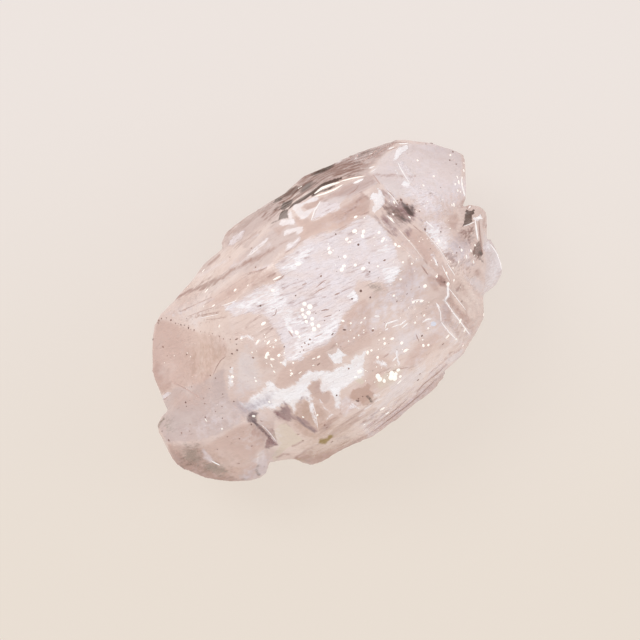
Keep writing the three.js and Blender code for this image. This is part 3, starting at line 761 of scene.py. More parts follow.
MARKS[Tint.MILK] = zones(
    # the milky face
    (0.95, 0.7, -5, 5.4, -3.9, 5.05, -2.9, 4.85, -2.2, 4.7, -1.2, 4.25, -0.4, 4.1, -0.4, 5, 0.3, 5.1,
        1.1, 5, 2.2, 5, 3, 4.9, 4, 4.4, 5.2, 3.75, 6.2, 3.6, 7.2, 3.4, 7.4, 2.4, 7.3, 1.2, 7, 0.2,
        6.6, -0.4, 6.7, -1, 6, -1.2, 5, -1.7, 4.6, -1, 4, -0.3, 3.4, 0.2, 2.8, 0, 2.75, -0.5, 2.5, -0.9,
        2.1, -0.8, 1, -0.9, 0.4, -1.1, 0, -1.5, -1.2, -1.6, -2.2, -1.3, -3, -1.1, -3.6, -1.2, -3.9, -0.9,
        -4.3, -0.6, -4.1, -0.1, -3.6, 0.5, -3.3, 1.6, -3.3, 2.6, -3.4, 3.2, -4, 3.9, -4.9, 4.3),
    (0.9, 0.6, 1.1, 5.3, 1.5, 5.7, 1.7, 5.4, 2.3, 5.5, 2.6, 5.6, 2.4, 5.3, 1.7, 5.1),
    (0.8, 1, -1.9, 8.55, -1.2, 8.85, -0.4, 8.75, -0.1, 8.5, -0.8, 8.3, -1.6, 8.3),
    # the clouds by the point and on the steps
    (0.62, 1, 10, 2.9, 11, 3.1, 11.6, 2.3, 12, 1.2, 11.9, 0.4, 11.6, -0.6, 10.6, 0.2, 10.2, 1, 10.3, 1.8),
    (0.9, 1.4, 9.4, -0.4, 9.8, 0.4, 10.4, 0, 11, -0.6, 10.9, -1.2, 10.4, -1.9, 10, -2.4, 9.4, -2.4,
        9.35, -1.6),
    (0.6, 1, 10.8, 3.1, 10.9, 3.9, 11.3, 4.7, 11.7, 4.9, 11.9, 4.2, 11.9, 3.3, 11.4, 3),
    (0.6, 1, 8.6, -1.6, 9, -1.9, 8.6, -2.8, 8.3, -2.9),
    (0.8, 1, 11.8, -4, 12.3, -3.9, 12.3, -4.7, 11.9, -4.6),
    # on the flank and the lobe
    (1, 0.5, -12.95, 3.3, -12.8, 3.65, -12.3, 3.55, -12.1, 3.35, -12.6, 3.3),
    (0.5, 1, 4.4, -1.6, 5.4, -2, 5.6, -2.8, 4.6, -2.6, 4, -2),
    (0.45, 1, 10.2, 2.2, 11.6, 2.6, 12.4, 1.4, 12.2, 0.2, 11, -0.4, 10.4, 0.6),
    (0.8, 0.4, 3.85, 5.75, 5.3, 6.35, 5.7, 5.9, 6.3, 5.3, 6, 5.08),
) + strokes(
    # the clouds by the point and on the steps
    (0.1, 0.8, 0.16, 9.5, -4.6, 9.5, -5.5),
    # on the flank and the lobe
    # a painted highlight along the lobe's upper edge
    (0.04, 0.52, 0.12, -14.6, 0.8, -14, -0.05, -13.2, -0.75, -12.2, -1.15, -11, -1.5, -9.6, -1.8),
)
MARKS[Tint.HAZE] = zones(
    # cool light patches beside the milky face and by the point
    (0.5, 1.4, 2.8, -1.4, 4.6, -1.6, 6.6, -1.3, 7.3, -1.6, 7.4, -3.2, 6.4, -3.8, 4.6, -3.8, 3, -3.4,
        2.2, -2.4),
    # a pale patch by the point, with a painted highlight on its rim
    (0.6, 1.2, 11.6, 1, 13.6, 1, 14.6, 0.4, 14, -0.4, 13.2, -0.4, 11.8, -0.4),
    (0.28, 1, 10.2, 5.2, 13.4, 5, 14.8, 2.6, 12.6, 1.8, 10.6, 2.6, 10, 4),
    (0.4, 1.6, 0.8, 3.6, 2.8, 3.4, 3.4, 1.6, 2.4, 0.4, 0.8, 1.2),
    (0.4, 1.6, 4.4, 2, 5.8, 3.4, 6.4, 1.8, 5.4, 0.4, 4, 0.6),
    (0.3, 1.6, 2, -4, 4.4, -4.2, 5, -5.6, 3, -6, 1.8, -5.2),
    (0.42, 1.2, 9.6, 0.6, 10.2, 3.2, 11.6, 3.4, 13.2, 2.6, 13.2, 0.2, 11.8, -0.6, 10.4, -0.6),
    (0.22, 1.6, 3.6, 4.6, 5, 5.2, 7.6, 4.8, 7.4, 4.2, 5.6, 4),
    (0.5, 1, -3.9, -5.4, -2.7, -5.3, -2.6, -6.6, -3.8, -6.4),
    (0.3, 1.6, -0.8, -1.2, 1.4, -1, 2.8, -1.4, 2.6, -2.6, 0.6, -2.6, -0.8, -2),
    (0.35, 1.6, 2, -2.4, 4, -2.6, 4.4, -4.4, 2.4, -4.2),
    (0.3, 1.2, -13.4, 0.6, -9.4, 0.6, -9.2, -1.5, -10.6, -1.4, -12.4, -0.9),
    (0.26, 1.2, -10.9, -2.2, -9.3, -2.2, -9.2, -3.8, -10.9, -4),
    (0.5, 1.2, -12.8, -4.6, -10.6, -4.2, -9.6, -5, -11, -5.9, -12.6, -5.6),
    # a painted highlight on the lobe's edge
    (0.75, 0.8, -13.65, -1.9, -13.35, -1.35, -13.1, -1.3, -13.15, -2.45, -13.45, -2.4),
    (0.42, 1, -3.6, -7.5, 0, -7.8, 4.4, -8, 4.4, -8.9, 2.6, -9.5, -1, -9.4, -3.8, -9.1),
    (0.55, 1.4, 4.6, -1.4, 7.3, -1.4, 7.4, -3.4, 5, -3.6),
    (0.36, 1.2, 4.8, -4.6, 7.2, -5, 7.6, -8.3, 5.6, -8.6, 4.6, -6.6),
    (0.45, 1.4, 1.2, -1.4, 3.2, -1.6, 3.4, -3.4, 1.6, -3.4),
    (0.3, 1.2, -0.2, -6.8, 3.4, -6.4, 4, -7.8, -0.2, -7.8),
    (0.3, 1.4, -2.9, -5.6, -0.8, -5.6, -0.8, -7.4, -2.8, -7.2),
    (0.3, 1.2, -0.6, -6.9, 2.8, -6.4, 3, -8.2, -0.4, -8.4),
    (0.3, 1.2, 8.6, 7.6, 10, 7.2, 10.8, 6.6, 9.6, 6.6, 8.8, 6.9),
    (0.5, 1.2, 13.2, 4.8, 14.4, 4.4, 15, 3.4, 14.2, 3.2, 13.2, 4),
    (0.36, 1.2, -9.6, -2.4, -8.2, -2.2, -7.8, -4.6, -9.2, -4.8),
    (0.4, 1, 8.6, 4, 9.6, 4, 9.7, 2.8, 8.9, 2.7),
    (0.5, 1.2, 9.5, -1.6, 11, -2, 11.3, -3.2, 10.6, -4.4, 9.8, -4.4, 9.6, -3.4),
) + strokes(
    # cool light patches beside the milky face and by the point
    (0.12, 0.42, 0.2, -3.2, -9.05, -1, -9.2, 1, -9.28, 2.6, -9.3),
    (0.05, 0.6, 0.2, -4.8, 8.28, -3.6, 8.05, -2.4, 7.75), (0.05, 0.6, 0.2, -2.6, 7.2, -1.6, 6.95, 0.6, 6.5),
    (0.06, 0.7, 0.16, -1.7, 5.95, -1.1, 5.6, -0.4, 5.3), (0.04, 0.6, 0.14, -0.6, 7.85, 0.4, 7.6),
    (0.04, 0.6, 0.14, -8.2, 7.4, -6.8, 6.9, -5.2, 6.35),
)
MARKS[Tint.FROST] = zones(
    (1, 0.6, -8.8, -0.5, -8.5, -0.9, -7.9, -0.75, -7.2, -1, -6.5, -0.9, -6.1, -0.7, -6, -1.2, -6.1, -1.6,
        -5.7, -2, -5, -2.25, -4.3, -2.12, -3.6, -2.25, -3, -2.7, -2.4, -3.3, -1.8, -3.4, -1, -3.8,
        -0.3, -3.5, -0.1, -3.8, 0.5, -3.9, 0, -4.3, -0.5, -4.7, -0.9, -5.1, -1.8, -4.9, -2.4, -4.8,
        -3, -4.9, -3.2, -5.2, -3.7, -5.7, -3.9, -5.4, -3.5, -4.8, -3.4, -4.3, -3.9, -4.1, -3.8, -3.7,
        -3.4, -3.4, -3.3, -3.1, -3.9, -2.9, -4.4, -3, -4.6, -3.5, -4.7, -4, -5.1, -3.9, -5.2, -3.5,
        -5.6, -3.3, -5.9, -3.4, -6.4, -3.7, -6.2, -3.1, -6.5, -2.7, -7.3, -2.6, -7.6, -2.2, -8, -1.9,
        -8.6, -1.6, -8.9, -1.1),
    (1, 0.6, -1.75, -2, -1.5, -2.4, -1.1, -2.5, -0.9, -2.2, -0.8, -2.9, -0.7, -3.2, -1.1, -3.1, -1.4, -3.4,
        -1.8, -3),
    (0.62, 0.8, -5.1, -3.9, -5.35, -4.2, -6.05, -5.9, -5.75, -5.6, -5.3, -4.9, -4.8, -4.2),
    (0.78, 1.6, -8.8, 0.7, -8.5, 1.1, -8.1, 1.5, -7.9, 1.3, -8.1, 0.9, -8.4, 0.6),
    (0.6, 1, -8, 1.6, -7.6, 1.9, -7.4, 1.7, -7.7, 1.3),
    (0.5, 1, -2.6, -5.9, -2.4, -6.3, -2.4, -6.8, -2.9, -6.7, -3.4, -6),
    (0.74, 1.2, 0.35, -4.9, 0.8, -4.85, 1.05, -5.6, 0.75, -5.85),
    (0.8, 1, -4.7, -0.4, -4.1, -0.3, -4.2, -0.6, -4.6, -0.9),
    (0.9, 1, -6.6, -0.6, -6.2, -0.8, -6, -1.3, -6.4, -1.2),
    (0.9, 1, 10.45, 3.35, 10.8, 3.4, 11.1, 3.05, 10.7, 2.85),
    (1, 0.6, 11.4, 5.05, 11.9, 5.45, 12.7, 5.35, 12.8, 5.2, 12.1, 5.1),
) + strokes(
    (0.06, 0.8, 0.12, -4.4, -4.3, -4.5, -5, -4.4, -5.7), (0.06, 0.8, 0.16, -5, -5.7, -4.4, -5.65),
    (0.08, 1, 0.16, -5.6, 2.85, -5.2, 2.65, -4.9, 2.2), (0.06, 1, 0.16, -5.1, 1.8, -4.7, 1.9),
    (0.07, 1, 0.16, -1.3, -6.6, -1, -6.95), (0.07, 1, 0.1, 1.65, -6.2, 1.85, -5.85, 2.15, -5.4),
)
MARKS[Tint.LILAC] = zones(
    # painted shade under the frost beside the blade
    (0.75, 1.8, -9.5, -1, -9.3, -0.2, -8.9, -0.2, -8.4, -0.8, -7.6, -1.2, -7, -1.3, -6.6, -1.7, -7.2, -2.2,
        -8, -1.9, -8.6, -1.9, -9.2, -1.6),
    # a lilac-grey tone on the steps
    (0.5, 1, 10, -2, 11, -1.9, 11.8, -3.2, 11, -3.6, 10.2, -3.6, 9.9, -2.8),
)
MARKS[Tint.SNOW] = zones(
    (0.62, 1, -5, 5.35, -3.8, 5, -2.4, 4.7, -1.3, 4.3, -0.9, 3.9, -1, 3, -1.2, 2, -1.5, 0.6, -2.2, 0.9,
        -2.8, 2, -3.1, 3, -3.4, 3.8, -4.8, 4.3),
    (0.72, 1, -4.2, -0.6, -3.4, -0.1, -2.6, 0.4, -1.6, 0.2, -0.6, -0.3, 0.6, -0.4, 1.4, -0.6, 0.9, -0.9,
        -0.2, -1.4, -1.4, -1.5, -2.4, -1.2, -3.5, -1.2),
    (0.62, 1, -0.2, 4.8, 0.9, 4.9, 2, 4.8, 2.9, 4.6, 2.4, 3.9, 0.8, 3.8, -0.3, 3.9),
    (0.8, 1, 5.3, -0.1, 6.2, -0.7, 6.5, -1.1, 5.6, -1.5, 5, -1.6, 4.9, -0.9),
    (0.9, 0.5, 2, 0.1, 2.8, 0, 2.7, -0.5, 2.4, -0.9, 2.2, -0.4),
    (0.85, 1, -6, -2.4, -4.6, -2.5, -3.4, -2.9, -2.4, -3.7, -1, -4.2, -0.2, -4, -0.9, -4.8, -2.2, -4.6,
        -3.2, -4.2, -3, -3.3, -4.4, -2.8, -5.4, -3.2),
    (1, 0.35, 7.5, 3.45, 8, 3.6, 8.1, 4.2, 8.5, 4.3, 8.8, 4, 9, 4.35, 9.1, 4, 8.9, 3.5, 8.6, 3.05,
        8.1, 3.15, 7.6, 3.1),
    (1, 0.6, 11.2, 5, 11.6, 5.35, 12.2, 5.5, 12.8, 5.2, 12.6, 5, 11.9, 5.1, 11.3, 4.9),
    (0.9, 1, 10.7, 4.2, 10.95, 4.5, 10.85, 3.9), (0.9, 1, 10.5, 3.3, 11.1, 3.3, 10.9, 3),
    (1, 0.3, 12.65, -2.02, 12.9, -1.98, 13.35, -2.12, 13.3, -2.38, 12.85, -2.3),
    (0.78, 1.2, 9.45, -0.2, 9.9, -0.2, 10.4, -0.9, 10.2, -1.9, 9.6, -2.3, 9.45, -2.3),
    (0.6, 1, 5.5, 1, 6.8, 1, 6.9, 0.2, 6, 0.5),
) + strokes(
    (0.16, 1, 0.16, -2.3, 1.7, -2.6, 1), (0.1, 1, 0.16, -1.3, 1.8, -1.5, 0.7),
)
MARKS[Tint.MAUVE] = zones(
    (0.95, 1.3, -7.55, -2.8, -7.35, -2.6, -7.1, -2.95, -6.8, -2.75, -6.5, -2.95, -6.35, -2.6, -6.3, -3.3,
        -6.6, -3.75, -6.35, -4.5, -6.1, -5.5, -6.25, -5.8, -6.45, -5.3, -6.6, -4.6, -6.8, -4.05, -7.2, -3.9,
        -7.45, -3.3),
    (1, 0.6, -9.75, -4.35, -9.65, -4.15, -9.2, -3.85, -8.9, -3.9, -8.86, -4.8, -9.2, -4.6, -9.6, -4.45),
    (0.5, 1, 8.25, -4.9, 8.6, -4.9, 8.6, -5.2, 8.25, -5.2),
    # around the dark smudge
    (0.6, 1, 7.3, 3.1, 7.6, 3.1, 7.5, 2, 7.9, 1, 8.1, 0.8, 7.6, 0.7, 7.35, 1, 7.3, 1.9),
    (0.6, 1, 7.6, 2.6, 8.15, 3, 8.15, 1.2, 7.9, 0.9, 7.6, 1.2),
    (0.78, 1.2, 8.2, 3.1, 8.8, 3.1, 9.2, 2.8, 9.8, 2.6, 10.05, 1.8, 9.9, 0.8, 9.4, 0.7, 8.8, 0.9, 8.2, 1),
    (0.62, 1.2, 8.15, 0.85, 8.9, 0.8, 8.95, 0.3, 8.3, 0, 8.15, 0.2),
    (0.5, 1, 8.45, 3.1, 8.7, 3.5, 9, 4.1, 9.3, 4.3, 9.35, 3, 8.9, 2.8),
    (0.42, 1.4, 10.1, 2.2, 10.5, 2.3, 10.5, 1.3, 10.1, 1.4),
    (0.45, 1.4, 9.6, 0.8, 10, 0.9, 9.9, 0.2, 9.6, 0.3),
    (0.4, 1.4, 11.4, 1.7, 11.9, 1.6, 11.8, 1.2, 11.4, 1.3),
    (0.8, 0.8, -6.75, -4.1, -6.4, -4, -6.1, -4.6, -5.95, -5.9, -6.3, -5.9, -6.5, -5.2),
) + strokes(
    # around the dark smudge
    (0.12, 0.7, 0.2, -5.6, -3.45, -5.15, -3.3, -5, -3.6), (0.05, 0.6, 0.16, -4.75, -2.95, -4.6, -3.4),
    (0.07, 0.45, 0.3, 5.2, 6.3, 5.6, 6.15, 6.2, 6.3, 7.2, 6.15),
    (0.05, 0.4, 0.25, 7.15, 5.45, 8.1, 5.35, 9, 5.3),
)
MARKS[Tint.SLATE] = zones(
    # the blade, its tip and the fan beside it, the blade's crack darkened by painted shade
    (0.75, 0.8, -9.4, -1.9, -9.05, -1.55, -8.6, -1.6, -8.25, -2, -8.6, -2.2, -8.85, -2.5, -9.15, -2.3),
    (0.5, 1.6, -7.2, -2.8, -6.6, -2.9, -6.6, -3.4, -7, -3.6),
    (0.5, 1.8, 3.5, -0.3, 4, -0.4, 4.5, -1.1, 4.25, -1.45, 3.8, -1),
) + strokes(
    # the blade, its tip and the fan beside it, the blade's crack darkened by painted shade
    (0.12, 1, 0.12, -9, -2.1, -9, -3, -8.95, -3.9), (0.05, 0.8, 0.12, -8.95, -3.9, -8.9, -4.7),
    (0.08, 0.7, 0.14, -9.7, -4.3, -9.6, -4.5), (0.08, 0.85, 0.12, -6.5, -4.15, -6.42, -4.9, -6.22, -5.7),
    (0.05, 0.8, 0.12, -7.42, -3, -7.35, -3.8, -7.28, -4.3), (0.03, 0.6, 0.12, -7.7, -2.8, -7.75, -3.2),
    (0.04, 0.7, 0.12, -8.6, -2.5, -8.55, -2.7),
)
MARKS[Tint.GREY] = zones(
    # painted shade behind the ridge
    (1, 0.5, 3, 8.85, 3.6, 8.8, 4.3, 8.65, 4.9, 8.4, 4.8, 8.05, 4.2, 8.1, 3.6, 8.35, 3.2, 8.55),
    (0.75, 0.8, 2.1, 8.35, 2.8, 8.35, 3.1, 8.1, 2.4, 8.12),
    (0.9, 0.5, 2.6, 8, 3.2, 8.1, 3.9, 7.95, 3.9, 7.75, 3.4, 7.7, 2.9, 7.75),
    (1, 0.5, 4.6, 7.85, 4.9, 8.15, 5.4, 8.15, 6, 7.95, 5.7, 7.65, 5.2, 7.6, 4.8, 7.7),
    (1, 0.5, 6, 8.4, 6.5, 8.5, 7, 8.25, 7.6, 8.1, 8.1, 7.9, 7.8, 7.7, 7.2, 7.75, 6.6, 8, 6.2, 8.1),
    # grey-brown patches on the steps and by the dark smudge
    (0.6, 1, 7.8, -3.75, 8, -3.6, 8.15, -3.95, 8, -4.1),
    (1, 0.5, 10.95, -4, 11.1, -3.75, 11.4, -3.6, 11.8, -3.42, 12.05, -3.45, 11.85, -3.9, 11.65, -4.35,
        11.4, -4.42, 11.2, -4.2),
    (0.6, 1.5, 8.2, 3, 8.7, 3.2, 8.9, 2.6, 9.3, 2.3, 9.3, 1.2, 8.8, 1.1, 8.3, 1.6),
    (0.4, 1.4, 11.2, -2.1, 11.9, -2, 12.4, -2.6, 12.1, -3.2, 11.5, -3.3, 11.2, -2.7),
) + strokes(
    # painted shade behind the ridge
    (0.1, 0.9, 0.16, 5.85, 7.72, 6.05, 7.55), (0.1, 0.85, 0.16, 9.6, 7.05, 10.2, 6.9, 11, 6.55),
    (0.05, 0.7, 0.16, 9.2, 7.45, 10.6, 6.9), (0.06, 0.8, 0.16, 8.7, 6.78, 9.4, 6.72),
    (0.08, 0.6, 0.16, 8, 7.3, 9, 7.1), (0.1, 0.5, 0.28, 5.4, 6.12, 5.7, 6.22),
    (0.08, 0.8, 0.16, 11, -4.1, 11.3, -4.7),
)
MARKS[Tint.SOOT] = zones(
    (0.85, 1.5, 9.35, 2, 9.6, 2.35, 9.8, 2.2, 9.95, 1.7, 9.75, 1.2, 9.5, 1.2, 9.38, 1.6),
    (0.8, 0.8, 11.4, -4.1, 11.6, -4, 11.65, -4.35, 11.4, -4.4),
) + strokes(
    (0.08, 1, 0.14, 9.55, 2.3, 9.55, 1.8), (0.04, 0.9, 0.14, 9.75, 2.5, 9.75, 2.1),
    (0.1, 1, 0.14, 9.42, 1.9, 9.45, 1.4, 9.6, 1.2), (0.08, 1, 0.14, 9.75, 2, 9.8, 1.3),
    (0.05, 0.9, 0.12, 9.98, 1.7, 9.95, 1.45), (0.04, 0.9, 0.12, 9.55, 1, 9.55, 0.75),
    (0.05, 1, 0.16, 8.3, 2.9, 8.35, 2.3), (0.1, 0.5, 0.2, 8.6, 3.1, 8.62, 2.6),
    (0.1, 0.95, 0.18, 8.72, 2.4, 8.72, 1.9, 8.85, 1.3), (0.06, 0.8, 0.2, 9, 2.1, 9, 1.6),
    (0.05, 0.9, 0.12, 9.12, 1.2, 9.2, 0.95), (0.04, 0.5, 0.16, 8.95, 1, 9, 0.7),
    (0.06, 0.9, 0.12, 11.15, -4.5, 11.25, -4.75),
)
MARKS[Tint.SMOKE] = zones(
    # painted shade along the ridge and on the steep side behind it
    (0.95, 0.35, 2.15, 7.42, 2.65, 7.75, 3, 7.66, 3.2, 7.52, 2.92, 7.35, 2.8, 7.05, 2.45, 7.28),
    (1, 0.5, 3.1, 7.5, 3.6, 7.64, 4.4, 7.5, 5.4, 7.34, 6.1, 7.26, 6.7, 7.12, 7.2, 6.94, 7.5, 6.72,
        7.55, 6.55, 7.1, 6.68, 6.6, 6.9, 6.1, 7.08, 5.2, 7.14, 4.2, 7.3, 3.6, 7.45),
    (0.9, 0.5, 2.6, 8.66, 3.05, 8.8, 3.5, 8.5, 3.3, 8.34, 2.95, 8.5),
    (0.8, 0.5, 2.65, 7.85, 3.05, 8.1, 3.3, 8.3, 3.45, 8, 3.9, 7.87, 3.8, 7.72, 3.4, 7.64, 3, 7.72),
    (0.7, 0.5, 4.7, 7.85, 5, 8.05, 5.4, 8.05, 5.8, 7.9, 5.5, 7.7, 5, 7.7),
    (0.8, 0.5, 6.2, 8.3, 6.6, 8.3, 7.1, 8.08, 7.9, 7.86, 7.5, 7.75, 6.9, 7.9, 6.4, 8.1),
    # a dark patch on the blocky corner
    (1, 0.3, 11.75, -1.88, 12.35, -1.5, 12.85, -1.12, 13, -1.42, 13.35, -1.5, 13.1, -1.75, 12.9, -1.68,
        12.55, -2.15, 12.2, -2.02),
) + strokes(
    # painted shade along the ridge
    (0.05, 0.7, 0.1, 7.5, 6.72, 8.2, 6.25, 8.9, 5.78), (0.04, 0.9, 0.12, 1.6, 7.57, 2.1, 7.44, 2.5, 7.3),
    (0.07, 1, 0.1, 5.1, 7.06, 6, 6.8, 6.8, 6.5), (0.1, 0.45, 0.2, 7.1, 6.9, 7.8, 6.4, 8.6, 5.9),
    # dark spots by the brown patch
    (0.09, 1, 0.12, -1.66, -6.4, -1.62, -6.92), (0.035, 1, 0.1, -2.5, -6.05, -2.36, -6.28),
    (0.03, 0.8, 0.12, -2.35, -6.3, -2.4, -6.6),
)
MARKS[Tint.BROWN] = zones(
    (0.85, 0.5, -2.6, -5.4, -2.1, -5.3, -1.6, -5.6, -1, -5.7, -0.9, -6, -1.2, -6.2, -1.1, -6.6, -1.6, -7,
        -2.4, -6.8, -2.3, -6.2, -2.6, -6),
) + strokes(
    (0.1, 0.7, 0.16, -4, -6.1, -3.5, -5.6), (0.05, 0.8, 0.16, 0, -5.6, 0.7, -6),
    (0.03, 0.8, 0.1, 4.4, -8.25, 5.4, -8.42),
)
MARKS[Tint.OCHRE] = zones(
    (0.85, 0.8, -6.65, -6.55, -6.3, -6.45, -5.9, -6.75, -5.6, -6.6, -5.45, -6.9, -5.8, -7, -6.3, -7),
    (0.4, 1, -8.75, -6.2, -8.4, -6.4, -8.1, -7.2, -8.6, -6.9),
)
MARKS[Tint.ICE] = strokes(
    (0.16, 1, 0.08, 5.4, -5.66, 5.5, -5.74),
)
MARKS[Tint.GLEAM] = zones(
    # the folds under the ridge
    (0.84, 0.5, 1.95, 7.2, 2.3, 7.28, 2.75, 6.95, 2.9, 7.3, 3.25, 7.42, 3.15, 7.1, 3, 6.8, 2.9, 6.5,
        2.75, 6.3, 2.3, 6.7, 2, 6.95),
    (0.84, 0.5, 3.35, 7.4, 3.7, 7.5, 4.2, 7.2, 5, 7, 5.5, 6.75, 5.2, 6.5, 4.8, 6.7, 4.2, 7, 3.85, 6.9,
        3.9, 6.65, 4.4, 6.4, 4.6, 6.28, 4, 6.18, 3.5, 6.18, 3.3, 6.3, 3.4, 6.7),
    (0.84, 0.5, 1.65, 6.3, 1.8, 6.52, 2.2, 6.45, 2.8, 6.1, 3.1, 5.85, 3, 5.62, 2.6, 5.62, 2.3, 5.78,
        2.6, 5.95, 2, 6.08),
    (0.8, 0.6, -1.5, 6.95, -0.9, 7.1, 0, 7.08, 1.2, 6.98, 0.3, 6.8, -0.8, 6.84),
    # lit edges on the steps and round the heel
    (1, 0.6, 12.2, -4, 12.5, -3.9, 12.5, -4.6, 12.35, -5.3, 12.1, -5.9, 11.9, -6.2, 11.75, -5.9, 12, -5.2,
        12.2, -4.6),
    (0.7, 1.2, 9.8, -6.5, 10.8, -5.8, 11.6, -5, 12.4, -4, 12.4, -5.4, 11.8, -6.3, 11, -6.7),
    (0.7, 0.8, 0.9, 5.45, 1.5, 5.72, 1.8, 5.5, 2.5, 5.65, 2.4, 5.4, 1.4, 5.2),
) + strokes(
    # the folds under the ridge
    (0.07, 1, 0.14, 3.85, 5.78, 4.5, 6.15, 5.3, 6.38), (0.04, 0.9, 0.12, 3.85, 5.7, 5, 5.36, 6, 5.1),
    (0.07, 1, 0.12, 8.1, 7.82, 8.45, 7.66),
    # lit edges on the steps and round the heel
    (0.08, 1, 0.12, 7.15, -5.05, 7.6, -4.9, 8.2, -4.2),
    (0.06, 0.9, 0.12, 7.15, -5.1, 7.08, -6, 7.05, -7, 6.95, -8.1),
    (0.05, 0.9, 0.12, 5.95, -6, 5.92, -6.9, 5.97, -7.8), (0.06, 0.9, 0.14, -3.1, -7.1, -2.6, -7.2),
    (0.06, 0.85, 0.14, -2.4, -6.98, -1.5, -7.12, -0.9, -7.25),
    (0.05, 0.7, 0.12, 9.9, -6.75, 11, -6.7, 11.9, -6.35), (0.06, 0.9, 0.12, -10.9, -4.65, -10.4, -4.3),
    (0.05, 0.8, 0.12, -10.6, -5, -10.3, -4.65), (0.03, 0.9, 0.1, -8.76, -2.5, -8.74, -3.4, -8.76, -4.6),
    (0.06, 0.7, 0.16, 7.58, 2.6, 7.62, 2, 7.8, 1.4), (0.06, 0.62, 0.16, 4.3, -8.32, 4.7, -8.2, 5.1, -8.28),
    (0.05, 0.55, 0.16, 2.4, -8, 2.9, -8.1, 3.2, -8.35),
)

CLEAR = "clear"
STEEP = "steep"

CLEAR_MARKS: Marks = zones(
    # the lobe, the blocky corner and the heel
    (0.5, 1, -15.6, 0.6, -13, -0.8, -12.8, -4.8, -14, -4.6, -15.8, -2.4),
    (0.4, 1, -12.6, -4.6, -10.2, -4.1, -9.8, -5.2, -11, -6, -12.6, -5.6),
    (0.25, 1, 10.8, -0.4, 13.4, 0, 14.2, -2.4, 13, -3.6, 12.6, -6.4, 10.6, -7, 9.6, -6.6, 11.4, -4.8,
        10.8, -3),
    # the facets between the steps, and the plate under the lower side
    (0.4, 1, 5.9, -5.8, 7, -4.8, 8.2, -4.2, 9.4, -5, 9.2, -7.8, 6, -8.9),
    (0.4, 1, -8.8, -6.2, -5, -7, 0, -7.8, 4.4, -8.2, 3.6, -9.8, -3.5, -9.6, -8.4, -8.2),
    (0.3, 1, 12.4, 5.4, 14.4, 4.2, 15.8, 2.2, 15, 0.8, 14, 1.6, 13.2, 3.4),
    (0.4, 1, -9.2, -2, -7, -3.9, -7.2, -5.6, -10.4, -5.4),
    (0.4, 1, 5, 8.9, 9, 8.2, 12.8, 6.2, 9.4, 6, 6, 7.4),
)

# The clouds of the sides that aren't drawn: their size in millimetres, their two levels and their strength
NOT_HIDDEN = (1.0, 1.0, 2.0, 0.0)
HIDDEN: dict[Tint, tuple[float, float, float, float]] = {
    Tint.PALE: (3.0, 0.1, 0.4, 0.8),
    Tint.BLUSH: (4.0, -0.1, 0.2, 0.8),
    Tint.ROSE: (3.4, 0.0, 0.3, 0.9),
    Tint.CLAY: (2.4, 0.15, 0.4, 0.7),
    Tint.SHADE: (3.8, 0.1, 0.7, 0.7),
    Tint.MILK: (3.2, 0.0, 0.6, 0.7),
    Tint.FROST: (2.2, 0.15, 0.7, 0.6),
    Tint.LILAC: (2.6, 0.2, 0.7, 0.5),
    Tint.SNOW: (1.8, 0.25, 0.75, 0.6),
    Tint.GREY: (1.9, 0.3, 0.9, 0.5),
    Tint.SMOKE: (1.5, 0.5, 0.9, 0.6),
}


# ---- Finishes -----------------------------------------------------------------------------------------


